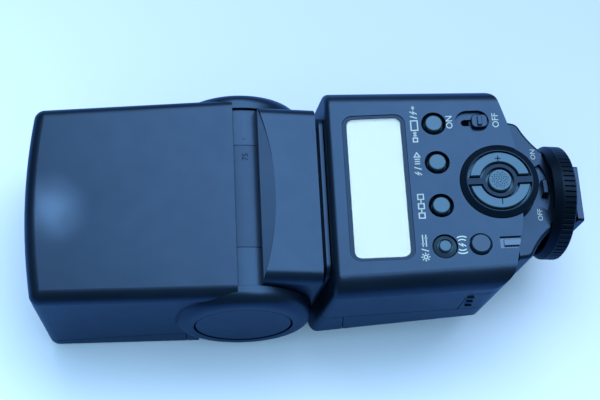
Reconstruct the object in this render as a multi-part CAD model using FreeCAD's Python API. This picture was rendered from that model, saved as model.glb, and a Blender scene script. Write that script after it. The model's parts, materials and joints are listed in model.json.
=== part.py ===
import FreeCAD, Part
import math
import os

from FreeCAD import Placement, Rotation, Vector

# Speedlight flash, lying on its front with the head tipped to its 75 degree stop.
# Row frame: +X towards the mounting foot, +Y to the right-hand side of the flash,
# +Z out of the control panel. Sizes are in millimetres.
# Everything is first built with X = 0 and Y = 0 on the tilt axis and Z = 0 on the table.
# The shoe and the swivel share one direction, leaning by "lean" from the panel: pieces
# on them are built in the lean frame (u along that direction, w square to it) and turned.

# ---------------------------------------------------------------- driving dimensions
lean = 11.0                # angle between the control panel and the shoe direction
hinge_z = 23.4             # tilt axis above the table
wall = 1.8                 # moulded wall
seam = 0.25                # visible gap between two covers
fit = 0.05                 # running clearance of a shaft in its bore
slip = 0.2                 # clearance of a piece that drops into an opening
swing = 0.4                # clearance of moulded faces that sweep past each other

head_front = 62.9          # tilt axis to the corners of the head's front
front_bulge = 2.6          # how far the front bows out at the middle
head_rear = 0.8            # top cover stops this far before the tilt axis
head_half_front = 32.3
head_half_rear = 33.3
head_top = 45.3
head_edge = 3.8            # rounding along the top of the head
head_corner = 3.4          # rounding of the upright front corners
head_foot_edge = 3.0       # rounding along the bottom of the head
part_front_z = 6.0         # parting line of the head covers at the front
part_rear_z = 10.6          # and where it meets the ear
part_rear_x = 18.6
ear_radius = 21.3
ear_face_radius = 17.4
ear_half = 35.4            # outside of the ears, the widest place
ear_crown = 4.4             # depth of the rounded crown of an ear
disc_radius = 15.0
disc_gap = 0.4
disc_depth = 2.7            # depth of the round recess in the ear
disc_sink = 0.15           # disc face below the ear face
heel_x = 15.0              # the side walls stop here under the hinge
belly_angle = 45.0         # slope of the wall under the drum
release_travel = 1.1

lens_half = 27.0
lens_z0 = 7.5
lens_z1 = 38.0
lens_thick = 2.0
lens_sink = 0.8
lens_rim = 1.6
lens_corner = 2.0
prism_pitch = 1.7
prism_depth = 0.5
panel_half = 24.0          # pull-out wide panel
panel_thick = 1.0
panel_z = 41.0
panel_length = 25.0
tray_thick = 0.9

reflector_half = 20.0
reflector_height = 21.0
reflector_depth = 10.5
reflector_thick = 0.7
reflector_front = 57.3     # tilt axis to the front edge of the reflector
tube_radius = 2.0
tube_half = 24.0
boot_radius = 3.2
boot_length = 4.5
carriage_thick = 3.0
carriage_half = 24.5
rail_radius = 1.0
rail_y = 21.5
rail_z = 8.2
screw_radius = 1.5
rib_thick = 1.5
rib_top = 11.2
front_rib_x = 59.2         # outer face of the front rib
rear_rib_x = 31.6          # rear face of the rear rib
trigger_x0 = -45.6         # trigger board on the right-hand side wall
trigger_length = 17.0
trigger_gap = 0.9           # board to the side wall
trigger_z0 = 15.4
trigger_height = 18.0
coil_radius = 3.6
coil_length = 5.6
motor_radius = 4.8
motor_length = 8.4

drum_radius = 20.3
neck_half = 29.2
neck_front_u = 2.6         # step from the drum up to the neck block
neck_end_u = 20.7
neck_top_w = 24.9
neck_low_w = -13.0
neck_edge = 3.6
neck_wall = 2.0
neck_part_w = -3.0         # plane between the rear and front neck covers
neck_post_y = 20.3
scoop_depth = 1.3
scoop_reach = 4.5
scoop_height = 10.0
scale_half = 17.0          # angle scale sleeve on the drum
scale_thick = 1.2
shaft_radius = 4.0
collar_u0 = 22.0
collar_thick = 1.2
collar_half = 27.0
collar_low_w = -14.0
collar_top_w = 24.0
swivel_w = 5.0             # swivel axis above the tilt axis, in the lean frame
swivel_radius = 10.0
swivel_bore = 8.0
bush_thick = 2.0
bush_flange = 2.0
bush_gap = 0.1             # bush to the collar
retainer_radius = 14.5
retainer_thick = 2.0

body_end_u = 23.5          # body face towards the neck
body_half_head = 34.4
body_half_foot = 32.8
panel_top = 46.3
panel_end_x = 86.5
panel_corner_x = 81.5      # where the sides turn in to the foot end
panel_knee_x = 84.9
panel_knee_y = 20.0
panel_tip_y = 12.2
front_z_head = 1.2         # front face above the table at the head end
front_z_foot = 7.5
body_edge = 6.0            # rounding beside the control panel
front_edge = 11.5           # rounding beside the front face
foot_corner = 6.0
end_edge = 2.0              # rounding of the end towards the neck
body_seam_z = 23.9
plan_reach = 6.0            # cutting forms run this far past the body

display_x0 = 33.2
display_x1 = 53.0
display_half = 24.3
display_corner = 3.4
frame_width_x = 1.4
frame_width_y = 1.1
frame_sink = 0.3
window_thick = 1.6
board_top = 40.4
board_thick = 1.6
mat_thick = 1.0
key_gap = 0.6              # key flange above the rubber dome
key_flange = 0.9
key_play = 0.2             # flange below the cover

button_x = 61.9
button_pitch_outer = 20.5
button_pitch_inner = 7.2
button_hole = 3.9
button_radius = 2.8
button_rise = 0.5
button_round = 0.5
ring_radius = 3.5           # sloping ring of the light button
ring_sink = 0.5
ring_groove = 0.3
small_radius = 2.0          # cap of the light button
lamp_x = 72.7
lamp_y = -20.3
lamp_radius = 3.35
lamp_rise = 0.9
switch_x0 = 68.7
switch_x1 = 79.3
switch_y = 20.8
switch_half = 3.7
switch_knob = 2.6
switch_pocket = 1.2
switch_rise = 0.3
switch_knob_half = 2.3
switch_knob_round = 1.6
switch_ridge = 0.6          # grip ridge on the knob
switch_ridge_half = 0.75
switch_ridge_reach = 1.7
switch_travel = 4.6
stem_half = 0.9

dial_x = 80.5
dial_radius = 12.1
dial_wall = 1.2
dial_plate = 1.5
dial_rise = 0.9
key_outer = 9.9
key_inner = 5.45
key_split = 1.0            # web between the plus and minus keys
select_hole = 4.35
select_radius = 3.65
key_rise = 0.3
key_ring_gap = 0.6
key_lap = 0.5               # flange of a dial key behind the plate
dial_slope = 0.85           # drop of the sloping rim of the dial
slave_inner = 13.4
slave_outer = 17.0
slave_low = -24.0          # slot ends, degrees round the dial
slave_high = 31.0
slave_knob_low = -7.0
slave_knob_high = 11.0
slave_depth = 1.7
slave_knob_inner = 14.5
slave_knob_outer = 16.5
slave_round = 0.5
slave_rise = 1.1
pipe_x0 = 78.6
pipe_y = -20.0
pipe_half = 1.9
pipe_sink = 0.9             # floor of the light pipe's channel
pipe_radius = 1.2
pipe_setback = 1.3

window_x0 = 23.0           # AF-assist window on the front face
window_x1 = 60.0
window_half = 21.0
window_round = 5.0

cell_radius = 7.1
cell_length = 49.5
cell_pitch = 14.6
cell_x = 38.8              # first cell of the lower row of three
cell_z = 15.8
nub_radius = 2.7
nub_height = 1.0
box_wall = 1.0
cell_y0 = -24.8            # ends of the cells towards the door
spring_radius = 3.2
spring_wire = 0.4
spring_turns = 3.0
contact_thick = 0.5
contact_z0 = 14.8          # contact strips carried by the door
contact_z1 = 21.5
contact_high_z = 32.5
stud_radius = 1.9
door_tab_x = 67.2
door_tab_z = 37.0
tab_slant = 1.6             # lean of the tab's edge
tab_corner = 3.5
door_x0 = 31.4
door_z0 = 10.0
door_inner_y = 28.0        # the door wraps round the foot end up to here
door_travel = 2.5
hinge_pin_radius = 0.8
hinge_pin_y = -30.4
hinge_pin_z = 11.0
knuckle_radius = 1.6
knuckle_x0 = 48.5          # first door knuckle
knuckle_length = 4.0
knuckle_sweep = 3.3        # room round the pin for the door's lower edge
door_sweep = 4.6           # and at the wider head end of the door

cap_radius = 7.0           # main capacitor
cap_length = 40.0
cap_x = 48.5
cap_z = 31.6
transformer_x0 = 29.0
transformer_y0 = 15.5
transformer_size = 10.8
board_x0 = 29.4
board_x1 = 77.0
board_half = 28.0
mat_x0 = 57.0
mat_x1 = 78.0
mat_half = 26.0
dome_radius = 1.8
body_post_x0 = 28.5
body_post_x1 = 46.0
body_post_x2 = 66.0
body_post_y = 29.2
screw_seat_depth = 4.6
passage_half_y = 9.0
passage_half_w = 5.0
window_rim = 1.5
window_rim_thick = 0.8
window_wall = 1.6
window_sink = 0.2          # window face below the frame round it
lamp_board_x0 = 24.2
pipe_low_z = 43.9
dial_low_z = 38.2

shoe_w = 22.2              # shoe axis above the tilt axis, in the lean frame
base_end_u = 95.2
base_half_w = 10.6
base_half_wide = 23.4
base_knee_u = 84.8
base_knee_y = 22.7
base_tip_y = 11.2
base_bow = 1.2
base_edge = 1.2
base_wall = 2.2
base_knee_round = 3.0
anchor_length = 6.0        # boss inside the base that holds the stem
grip_x0 = 68.9             # finger ridges on the battery door
grip_length = 2.0
grip_rise = 0.4
grip_half = 0.45
grip_drop = 2.5
grip_pitch = 3.8
groove_depth = 0.4
groove_end_x = 81.0
wheel_u0 = 92.0
wheel_rim_u = 94.3
wheel_end_u = 98.9
wheel_radius = 18.1
wheel_lip = 16.7
wheel_cup = 15.8
wheel_web = 2.3
rib_count = 66
rib_band = 3.6
rib_cut = 0.35
stem_radius = 5.0
clamp_thick = 0.8
clamp_gap = 0.1
clamp_half_y = 9.8
clamp_half_w = 9.5
foot_u0 = 102.0
foot_thick = 2.0           # standard accessory shoe foot
foot_half_y = 9.3
foot_half_w = 9.0
foot_corner_r = 0.8
pin_radius = 0.75
pin_rise = 0.4
lock_pin_radius = 1.0
lock_pin_w = -6.6

post_radius = 2.2
boss_radius = 2.8          # posts that a screw head is sunk into
post_bite = 0.4            # how far the head posts run into the side wall
fastener_radius = 1.0
fastener_head = 1.8
fastener_head_height = 1.1

# ---------------------------------------------------------------- derived places
lean_rad = math.radians(lean)
to_row = Placement(Vector(0, 0, hinge_z), Rotation(Vector(0, 1, 0), lean))
side_x = Vector(1, 0, 0)
side_y = Vector(0, 1, 0)
side_z = Vector(0, 0, 1)
big = 200.0
made_blocks = {}


def row_x(u, z):
    """X of the place at distance u along the lean direction and height z."""
    return (u + (z - hinge_z) * math.sin(lean_rad)) / math.cos(lean_rad)


def lean_u(x, z):
    return x * math.cos(lean_rad) - (z - hinge_z) * math.sin(lean_rad)


ear_inner = neck_half + swing
ear_shoulder = ear_half - ear_crown
disc_floor = ear_half - disc_depth
trigger_y = head_half_front - wall - trigger_gap
body_foot_u = lean_u(panel_end_x, panel_top)
base_top_w = shoe_w + base_half_w
dial_flange_low = panel_top + dial_rise - dial_plate - key_play - key_flange
slave_surface_z = hinge_z + (base_top_w - (dial_x + slave_inner) * math.sin(lean_rad)) / math.cos(lean_rad)
slave_floor_z = slave_surface_z - slave_depth
body_inside_end_x = row_x(body_foot_u - wall, board_top)
cover_under = panel_top - wall
key_flange_top = cover_under - key_play
key_flange_low = key_flange_top - key_flange
dome_top = key_flange_low - key_gap
swivel_end_u = body_end_u + wall + bush_flange + retainer_thick + slip
cell_low_x = [cell_x + index * cell_pitch for index in range(3)]
cell_high_z = cell_z + cell_pitch
cell_y1 = cell_y0 + cell_length


# ---------------------------------------------------------------- small builders
def box(x0, x1, y0, y1, z0, z1):
    return Part.makeBox(x1 - x0, y1 - y0, z1 - z0, Vector(x0, y0, z0))


def rod_x(x0, x1, y, z, radius):
    return Part.makeCylinder(radius, x1 - x0, Vector(x0, y, z), side_x)


def rod_y(x, y0, y1, z, radius):
    return Part.makeCylinder(radius, y1 - y0, Vector(x, y0, z), side_y)


def rod_z(x, y, z0, z1, radius):
    return Part.makeCylinder(radius, z1 - z0, Vector(x, y, z0), side_z)


def polygon(points):
    return Part.makePolygon(points + [points[0]])


def prism_y(points, y0, y1):
    """Outline given as (x, z) pairs, between two y values."""
    wire = polygon([Vector(x, y0, z) for x, z in points])
    return Part.Face(wire).extrude(Vector(0, y1 - y0, 0))


def prism_z(points, z0, z1):
    """Outline given as (x, y) pairs, between two z values."""
    wire = polygon([Vector(x, y, z0) for x, y in points])
    return Part.Face(wire).extrude(Vector(0, 0, z1 - z0))


def middle(edge):
    return edge.valueAt((edge.FirstParameter + edge.LastParameter) / 2.0)


def rounded(shape, radius, test):
    edges = [edge for edge in shape.Edges if test(middle(edge), edge)]
    return shape.makeFillet(radius, edges)


def is_upright(edge):
    ends = [vertex.Point for vertex in edge.Vertexes]
    return len(ends) == 2 and abs(ends[0].z - ends[1].z) > 0.9 * edge.Length


def plate(x0, x1, y0, y1, z0, z1, radius):
    """Flat plate with four rounded upright corners."""
    return rounded(box(x0, x1, y0, y1, z0, z1), radius, lambda p, e: is_upright(e))


def ring_y(x, y0, y1, z, outer, inner):
    return rod_y(x, y0, y1, z, outer).cut(rod_y(x, y0, y1, z, inner))


def slot_z(x0, x1, y, half, z0, z1):
    """Stadium: x0 and x1 are its overall ends."""
    middle_box = box(x0 + half, x1 - half, y - half, y + half, z0, z1)
    ends = [rod_z(x, y, z0, z1, half) for x in (x0 + half, x1 - half)]
    return middle_box.multiFuse(ends).removeSplitter()


def sector_z(x, y, inner, outer, start, end, z0, z1):
    """Ring sector about an upright axis, angles in degrees."""
    pie = Part.makeCylinder(outer, z1 - z0, Vector(x, y, z0), side_z, end - start)
    pie.rotate(Vector(x, y, z0), side_z, start)
    return pie.cut(rod_z(x, y, z0, z1, inner))


def turned(shape):
    """From the lean frame to the row frame."""
    placed = shape.copy()
    placed.Placement = to_row.multiply(placed.Placement)
    return placed


def fastener(base, direction, length):
    """Pan head screw: base is the underside of the head."""
    shank = Part.makeCylinder(fastener_radius, length, base, direction)
    top = base - direction * fastener_head_height
    head = Part.makeCylinder(fastener_head, fastener_head_height, top, direction)
    slot = Part.makeBox(0.5, 2.4, 0.5, Vector(-0.25, -1.2, 0))
    slot.Placement = Placement(top, Rotation(side_z, direction))
    return head.fuse(shank).cut(slot)


# ---------------------------------------------------------------- flash head
def head_block(inset):
    """Outer form of the head, or its inside when inset by the wall."""
    x_corner = -(head_front - inset)
    front_half = head_half_front - inset
    rear_half = head_half_rear - inset
    low_rear = Vector(-head_rear, -rear_half, inset)
    low_front = Vector(x_corner, -front_half, inset)
    bow = Vector(x_corner - front_bulge, 0, inset)
    high_front = Vector(x_corner, front_half, inset)
    high_rear = Vector(-head_rear, rear_half, inset)
    edges = [
        Part.LineSegment(low_rear, low_front).toShape(),
        Part.Arc(low_front, bow, high_front).toShape(),
        Part.LineSegment(high_front, high_rear).toShape(),
        Part.LineSegment(high_rear, low_rear).toShape(),
    ]
    top = head_top - inset
    block = Part.Face(Part.Wire(edges)).extrude(Vector(0, 0, top - inset))
    corner = max(head_corner - inset, 0.6)
    block = rounded(block, corner, lambda p, e: is_upright(e) and p.x < -head_front / 2.0)
    rim = max(head_edge - inset, 0.6)
    block = rounded(block, rim, lambda p, e: p.z > top - 0.01 and p.x < -head_rear - 0.01)
    foot = max(head_foot_edge - inset, 0.4)
    return rounded(block, foot, lambda p, e: p.z < inset + 0.01 and p.x < -head_rear - 0.01)


def under_drum(inset):
    """Wedge below and behind the drum that the neck swings through."""
    slope = math.radians(belly_angle)
    shift = inset / math.cos(slope)
    far = head_front
    points = [
        (-shift, hinge_z),
        (-shift - far * math.cos(slope), hinge_z - far * math.sin(slope)),
        (far, hinge_z - far),
        (far, hinge_z),
    ]
    return prism_y(points, -ear_inner - inset, ear_inner + inset)


def part_line_z(x):
    """Height of the parting line of the two head covers."""
    share = (-x - part_rear_x) / (head_front - part_rear_x)
    return part_rear_z + (part_front_z - part_rear_z) * share


def ear(side):
    """Solid round ear on one side, with its straight lower wall."""
    profile = [
        Part.LineSegment(Vector(0, ear_inner, 0), Vector(ear_radius, ear_inner, 0)).toShape(),
        Part.LineSegment(Vector(ear_radius, ear_inner, 0), Vector(ear_radius, ear_shoulder, 0)).toShape(),
    ]
    drop = ear_radius - ear_face_radius
    rise = ear_half - ear_shoulder
    bend = Vector(ear_face_radius + 0.72 * drop, ear_shoulder + 0.72 * rise, 0)
    shoulder = Vector(ear_radius, ear_shoulder, 0)
    crown = Vector(ear_face_radius, ear_half, 0)
    profile.append(Part.Arc(shoulder, bend, crown).toShape())
    profile.append(Part.LineSegment(crown, Vector(0, ear_half, 0)).toShape())
    profile.append(Part.LineSegment(Vector(0, ear_half, 0), Vector(0, ear_inner, 0)).toShape())
    dome = Part.Face(Part.Wire(profile)).revolve(Vector(0, 0, 0), side_y, 360)
    dome.translate(Vector(0, 0, hinge_z))
    reach = math.hypot(heel_x, hinge_z)
    turn = math.atan2(hinge_z, heel_x) - math.acos(ear_radius / reach)
    touch = (-ear_radius * math.cos(turn), hinge_z - ear_radius * math.sin(turn))
    beyond = math.atan2(hinge_z, heel_x) + math.acos(ear_radius / reach)
    low_touch = (-ear_radius * math.cos(beyond), hinge_z - ear_radius * math.sin(beyond))
    heel = [(0, hinge_z), touch, (-heel_x, 0), low_touch]
    wall_plate = prism_y(heel, ear_inner, ear_shoulder)
    solid = dome.fuse(wall_plate)
    if side < 0:
        solid = solid.mirror(Vector(0, 0, 0), side_y)
    return solid


def ear_recess(side):
    recess = rod_y(0, disc_floor, ear_half + 1, hinge_z, disc_radius + disc_gap)
    if side < 0:
        recess = recess.mirror(Vector(0, 0, 0), side_y)
    return recess


def head_shell():
    side_clear = box(-heel_x, 0, -big, big, -1, hinge_z)
    heel_room = box(-heel_x - wall, 0, -big, big, -1, hinge_z)
    outer = head_block(0).cut(under_drum(0)).cut(side_clear)
    inner = head_block(wall).cut(under_drum(wall)).cut(heel_room)
    shell = outer.cut(inner)
    shell = shell.multiFuse([ear(1), ear(-1)])
    drum_room = rod_y(0, -ear_inner, ear_inner, hinge_z, drum_radius + swing)
    shell = shell.cut(drum_room).cut(ear_recess(1)).cut(ear_recess(-1))
    shell = shell.cut(rod_y(0, -big, big, hinge_z, shaft_radius + fit))
    return shell.removeSplitter()


def lens_window(grow):
    """Opening of the lens in the front wall, grown by a rim."""
    z0 = lens_z0 - grow
    z1 = lens_z1 + grow
    half = lens_half + grow
    block = box(-head_front - front_bulge - 1, -head_front / 2.0, -half, half, z0, z1)
    return rounded(block, lens_corner + max(grow, 0),
                   lambda p, e: e.BoundBox.XLength > head_front / 4.0)


def lower_cover_room(gap):
    """Space of the lower head cover below the parting line."""
    x_far = -head_front - front_bulge - 1
    points = [
        (x_far, -1),
        (-part_rear_x - gap, -1),
        (-part_rear_x - gap, part_line_z(-part_rear_x) - gap),
        (x_far, part_line_z(x_far) - gap),
    ]
    return prism_y(points, -big, big)


def rail_ribs():
    """Two cross ribs that carry the zoom rails and the lead screw."""
    half = head_half_front - wall - 1.2
    ribs = box(-front_rib_x, -front_rib_x + rib_thick, -half, half, wall / 2.0, rib_top)
    rear = box(-rear_rib_x - rib_thick, -rear_rib_x, -half, half, wall / 2.0, rib_top)
    return ribs.fuse(rear)


def rail_bores(extra):
    x0 = -front_rib_x - 1
    x1 = -rear_rib_x + 1
    bores = [rod_x(x0, x1, y, rail_z, rail_radius + extra) for y in (-rail_y, rail_y)]
    bores.append(rod_x(x0, x1, 0, rail_z, screw_radius + extra))
    return bores[0].multiFuse(bores[1:])


def head_post_places():
    return [(x, side * (head_half_front - wall - post_radius + post_bite))
            for x in (-head_front + 9.0, -part_rear_x - 7.5) for side in (-1, 1)]


def head_screw_holes(z0, z1, radius):
    holes = [rod_z(x, y, z0, z1, radius) for x, y in head_post_places()]
    return holes[0].multiFuse(holes[1:])


def head_top_cover():
    cover = head_shell().cut(lower_cover_room(0)).cut(lens_window(0))
    slot_low = panel_z - slip
    slot_high = panel_z + panel_thick + slip
    slot = box(-head_front - front_bulge - 1, -head_front + 8, -panel_half - slip,
               panel_half + slip, slot_low, slot_high)
    cover = cover.cut(slot)
    posts = [rod_z(x, y, rib_top + 1.5, head_top - wall / 2.0, post_radius)
             for x, y in head_post_places()]
    cover = cover.multiFuse(posts + trigger_bosses())
    cover = cover.cut(head_screw_holes(rib_top, rib_top + 9.0, fastener_radius))
    return cover.removeSplitter()


def head_bottom_cover():
    cover = head_shell().common(lower_cover_room(seam)).cut(lens_window(0))
    ribs = rail_ribs().common(head_block(wall / 2.0))
    posts = [rod_z(x, y, wall / 2.0, rib_top + 1.3, post_radius) for x, y in head_post_places()]
    room = lower_cover_room(seam).fuse(head_block(wall + slip))
    cover = cover.multiFuse([ribs] + [post.common(room) for post in posts])
    cover = cover.cut(rail_bores(fit))
    cover = cover.cut(head_screw_holes(-1, big, fastener_radius))
    sink = fastener_head_height + 0.4
    cover = cover.cut(head_screw_holes(-1, sink, fastener_head + 0.2))
    return cover.removeSplitter()


def head_screws():
    base_z = fastener_head_height + 0.4
    return [fastener(Vector(x, y, base_z), side_z, rib_top + 4.0 - base_z)
            for x, y in head_post_places()]


def front_lens():
    plate_band = head_block(lens_sink).cut(head_block(lens_sink + lens_thick))
    pane = plate_band.common(lens_window(-slip))
    rim_inset = wall + fit
    rim_band = head_block(rim_inset).cut(head_block(lens_sink + lens_thick))
    rim = rim_band.common(lens_window(lens_rim))
    lens = pane.fuse(rim)
    count = int((lens_z1 - lens_z0 - 2 * lens_rim) / prism_pitch)
    x_face = -head_front - front_bulge + lens_sink
    grooves = []
    for index in range(count):
        z = lens_z0 + lens_rim + (index + 0.5) * prism_pitch
        half = 0.3 * prism_pitch
        points = [(x_face - 6, z - half), (x_face + 6, z - half), (x_face + 6, z + half),
                  (x_face - 6, z + half)]
        band = prism_y(points, -lens_half + 1.5, lens_half - 1.5)
        grooves.append(band)
    skin = head_block(lens_sink - 0.2).cut(head_block(lens_sink + prism_depth))
    cuts = grooves[0].multiFuse(grooves[1:]).common(skin)
    return lens.cut(cuts).removeSplitter()


def diffuser_tray():
    """Channel under the head's top wall that the wide panel slides in."""
    x0 = -head_front + 1.4
    x1 = -head_front + 1.4 + panel_length + 1.0
    roof = head_top - wall
    top = panel_z - slip
    half = panel_half + slip + tray_thick
    tray = box(x0, x1, -half, half, top - tray_thick, roof)
    room = box(x0 - 1, x1 - tray_thick, -panel_half - slip, panel_half + slip, top, roof + 1)
    return tray.cut(room).common(head_block(wall))


def wide_panel():
    x0 = -head_front - 0.6
    half = panel_half
    panel = plate(x0, x0 + panel_length, -half, half, panel_z, panel_z + panel_thick, 1.2)
    grip = box(x0 + 1.0, x0 + 1.8, -9, 9, panel_z + panel_thick - 0.3, panel_z + big)
    return panel.cut(grip)


def reflector_profile(inset):
    """Trough section: (x, z) points of a parabola, open towards the front."""
    half = reflector_height / 2.0 - inset
    depth = reflector_depth - inset
    mid_z = (lens_z0 + lens_z1) / 2.0
    front = -reflector_front
    points = []
    for index in range(17):
        share = -1.0 + index / 8.0
        points.append((front + depth * (1.0 - share * share), mid_z + half * share))
    return points


def reflector():
    outer = prism_y(reflector_profile(0), -reflector_half, reflector_half)
    inner_half = reflector_half - reflector_thick
    inner = prism_y(reflector_profile(reflector_thick), -inner_half, inner_half)
    tube_z = (lens_z0 + lens_z1) / 2.0
    tube_x = -reflector_front + reflector_depth * 0.62
    bore = rod_y(tube_x, -big, big, tube_z, tube_radius + 0.3)
    return outer.cut(inner).cut(bore)


def tube_place():
    return -reflector_front + reflector_depth * 0.62, (lens_z0 + lens_z1) / 2.0


def flash_tube():
    x, z = tube_place()
    glass = rod_y(x, -tube_half, tube_half, z, tube_radius)
    return rounded(glass, 0.6, lambda p, e: abs(abs(p.y) - tube_half) < 0.01)


def tube_boots():
    x, z = tube_place()
    boots = []
    for side in (-1, 1):
        y0 = side * (reflector_half + 0.1)
        y1 = side * (reflector_half + 0.1 + boot_length)
        boot = rod_y(x, min(y0, y1), max(y0, y1), z, boot_radius)
        boots.append(boot.cut(rod_y(x, -tube_half, tube_half, z, tube_radius)))
    return boots


def zoom_carriage():
    """Back plate that carries the reflector along the rails."""
    x0 = -reflector_front + reflector_depth
    low = rail_z - 3.0
    top = lens_z1 - 5.0
    frame = box(x0, x0 + carriage_thick, -carriage_half, carriage_half, low, top)
    cheeks = []
    tube_x, tube_z = tube_place()
    for side in (-1, 1):
        y0 = side * (carriage_half - 0.8) - 0.8
        cheek = box(tube_x - 1.5, x0, y0, y0 + 1.6, tube_z - 6, tube_z + 6)
        cheeks.append(cheek)
    frame = frame.multiFuse(cheeks)
    boots = [rod_y(tube_x, -big, big, tube_z, boot_radius + 0.1)]
    window = box(x0 - 1, x0 + carriage_thick + 1, -14, 14, tube_z - 4, tube_z + 6)
    frame = frame.cut(boots[0]).cut(window)
    return frame.cut(rail_bores(fit)).removeSplitter()


def zoom_rails():
    return [rod_x(-front_rib_x, -rear_rib_x, y, rail_z, rail_radius) for y in (-rail_y, rail_y)]


def zoom_screw():
    screw = rod_x(-front_rib_x, -rear_rib_x + 2.0, 0, rail_z, screw_radius)
    x = -front_rib_x + rib_thick + 1.0
    rings = []
    while x < -rear_rib_x - rib_thick - 1.0:
        rings.append(ring_x(x, x + 0.4, 0, rail_z, screw_radius + 1, screw_radius - 0.25))
        x += 1.0
    return screw.cut(rings[0].multiFuse(rings[1:]))


def ring_x(x0, x1, y, z, outer, inner):
    return rod_x(x0, x1, y, z, outer).cut(rod_x(x0, x1, y, z, inner))


def zoom_motor():
    x0 = -rear_rib_x + 0.05
    can = rod_x(x0, x0 + motor_length, 0, rail_z, motor_radius)
    can = rounded(can, 0.6, lambda p, e: p.x > x0 + 1 and e.Length > motor_radius * 6)
    return can.cut(rod_x(x0 - 1, x0 + 2.5, 0, rail_z, screw_radius + fit))


def trigger_board():
    """Trigger circuit board with its coil soldered on."""
    y0 = trigger_y - board_thick
    x1 = trigger_x0 + trigger_length
    board = box(trigger_x0, x1, y0, trigger_y, trigger_z0, trigger_z0 + trigger_height)
    return board.fuse(trigger_coil()).removeSplitter()


def trigger_bosses():
    """Pads on the side wall that the trigger board is fixed to."""
    z = trigger_z0 + trigger_height / 2.0
    x1 = trigger_x0 + trigger_length
    places = (trigger_x0 + 3.0, x1 - 3.0)
    return [rod_y(x, trigger_y, head_half_front - wall / 2.0, z, 2.0) for x in places]


def trigger_coil():
    y = trigger_y - board_thick - coil_radius + 0.2
    z = trigger_z0 + trigger_height / 2.0
    x1 = trigger_x0 + trigger_length
    x0 = x1 - coil_length
    core = rod_x(x0, x1, y, z, coil_radius - 0.5)
    cheeks = [rod_x(x, x + 0.8, y, z, coil_radius) for x in (x0, x1 - 0.8)]
    return core.multiFuse(cheeks)


def pivot_cap():
    y_face = -(ear_half - disc_sink)
    cap = rod_y(0, y_face, -disc_floor, hinge_z, disc_radius)
    return rounded(cap, 0.5, lambda p, e: abs(p.y - y_face) < 0.01)


def bounce_release_button():
    y_face = ear_half - disc_sink
    low = disc_floor + release_travel + slip
    disc = rod_y(0, low, y_face, hinge_z, disc_radius)
    disc = rounded(disc, 0.5, lambda p, e: abs(p.y - y_face) < 0.01)
    stem = rod_y(0, neck_half - 6.0, low, hinge_z, shaft_radius / 2.0)
    return disc.fuse(stem)


# ---------------------------------------------------------------- neck (lean frame, w up)
def neck_block(inset):
    """Block behind the drum, in the lean frame."""
    low = neck_low_w + inset
    top = neck_top_w - inset
    half = neck_half - inset
    u0 = neck_front_u + inset
    u1 = neck_end_u - inset
    block = box(u0, u1, -half, half, low, top)
    edge = max(neck_edge - inset, 0.6)
    return rounded(block, edge,
                   lambda p, e: e.BoundBox.XLength > (u1 - u0) / 2.0 and abs(p.y) > half - 0.01)


def neck_form(inset):
    half = neck_half - inset
    drum = Part.makeCylinder(drum_radius - inset, 2 * half, Vector(0, -half, 0), side_y)
    bridge = box(0, neck_front_u + inset + 1, -half, half, neck_low_w + inset, drum_radius / 2.0)
    return drum.multiFuse([neck_block(inset), bridge]).removeSplitter()


def scoop():
    """Shallow facet on the head-side edge of the neck's top face."""
    chord = neck_half - 1.0
    bow_radius = (chord ** 2 + scoop_reach ** 2) / (2 * scoop_reach)
    apex = neck_front_u + scoop_reach
    low = Vector(apex - bow_radius, 0, neck_top_w - scoop_height)
    disc = Part.makeCylinder(bow_radius, 2 * scoop_height, low, side_z)
    points = [
        (neck_front_u - 1, neck_top_w - scoop_depth * (scoop_reach + 1) / scoop_reach),
        (apex, neck_top_w),
        (apex, neck_top_w + 2),
        (neck_front_u - 1, neck_top_w + 2),
    ]
    return disc.common(prism_y(points, -big, big))


def scale_sector(inner, outer, half):
    """Ring sector of the drum that the angle scale covers, in the row frame."""
    sleeve = Part.makeCylinder(outer, 2 * half, Vector(0, -half, 0), side_y)
    sleeve = sleeve.cut(Part.makeCylinder(inner, 2 * half, Vector(0, -half, 0), side_y))
    below = box(-big, big, -big, big, -big, 0)
    beyond = box(neck_front_u, big, -big, big, -big, big)
    return sleeve.cut(below).cut(beyond)


def swivel_hole(radius, u0, u1):
    return Part.makeCylinder(radius, u1 - u0, Vector(u0, 0, swivel_w), side_x)


def neck_shell():
    shell = neck_form(0).cut(neck_form(neck_wall)).cut(scoop())
    shell = shell.cut(scale_sector(drum_radius - scale_thick, drum_radius + 1, scale_half + slip / 2.0))
    shell = shell.cut(Part.makeCylinder(shaft_radius, 2 * big, Vector(0, -big, 0), side_y))
    return shell.cut(swivel_hole(swivel_radius, 0, neck_end_u + 1))


def neck_post_places():
    return [(u, side * neck_post_y) for u in (-10.0, 14.5) for side in (-1, 1)]


def neck_holes(w0, w1, radius):
    holes = [rod_z(u, y, w0, w1, radius) for u, y in neck_post_places()]
    return holes[0].multiFuse(holes[1:])


def neck_posts(w0, w1, radius):
    posts = neck_holes(w0, w1, radius)
    return posts.common(neck_form(neck_wall / 2.0))


def neck_rear_cover():
    shell = neck_shell().cut(box(-big, big, -big, big, -big, neck_part_w))
    shell = shell.fuse(neck_posts(neck_part_w, big, post_radius).cut(shaft_room()))
    return turned(shell.cut(neck_holes(-big, neck_part_w + 8, fastener_radius)).removeSplitter())


def shaft_room():
    return Part.makeCylinder(shaft_radius + 0.3, 2 * big, Vector(0, -big, 0), side_y)


def neck_front_cover():
    shell = neck_shell().cut(box(-big, big, -big, big, neck_part_w - seam, big))
    shell = shell.fuse(neck_posts(-big, neck_part_w - seam, boss_radius).cut(shaft_room()))
    shell = shell.cut(neck_holes(-big, big, fastener_radius))
    sink_w = neck_low_w + 1.6
    shell = shell.cut(neck_holes(-big, sink_w, fastener_head + 0.2))
    return turned(shell.removeSplitter())


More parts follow.
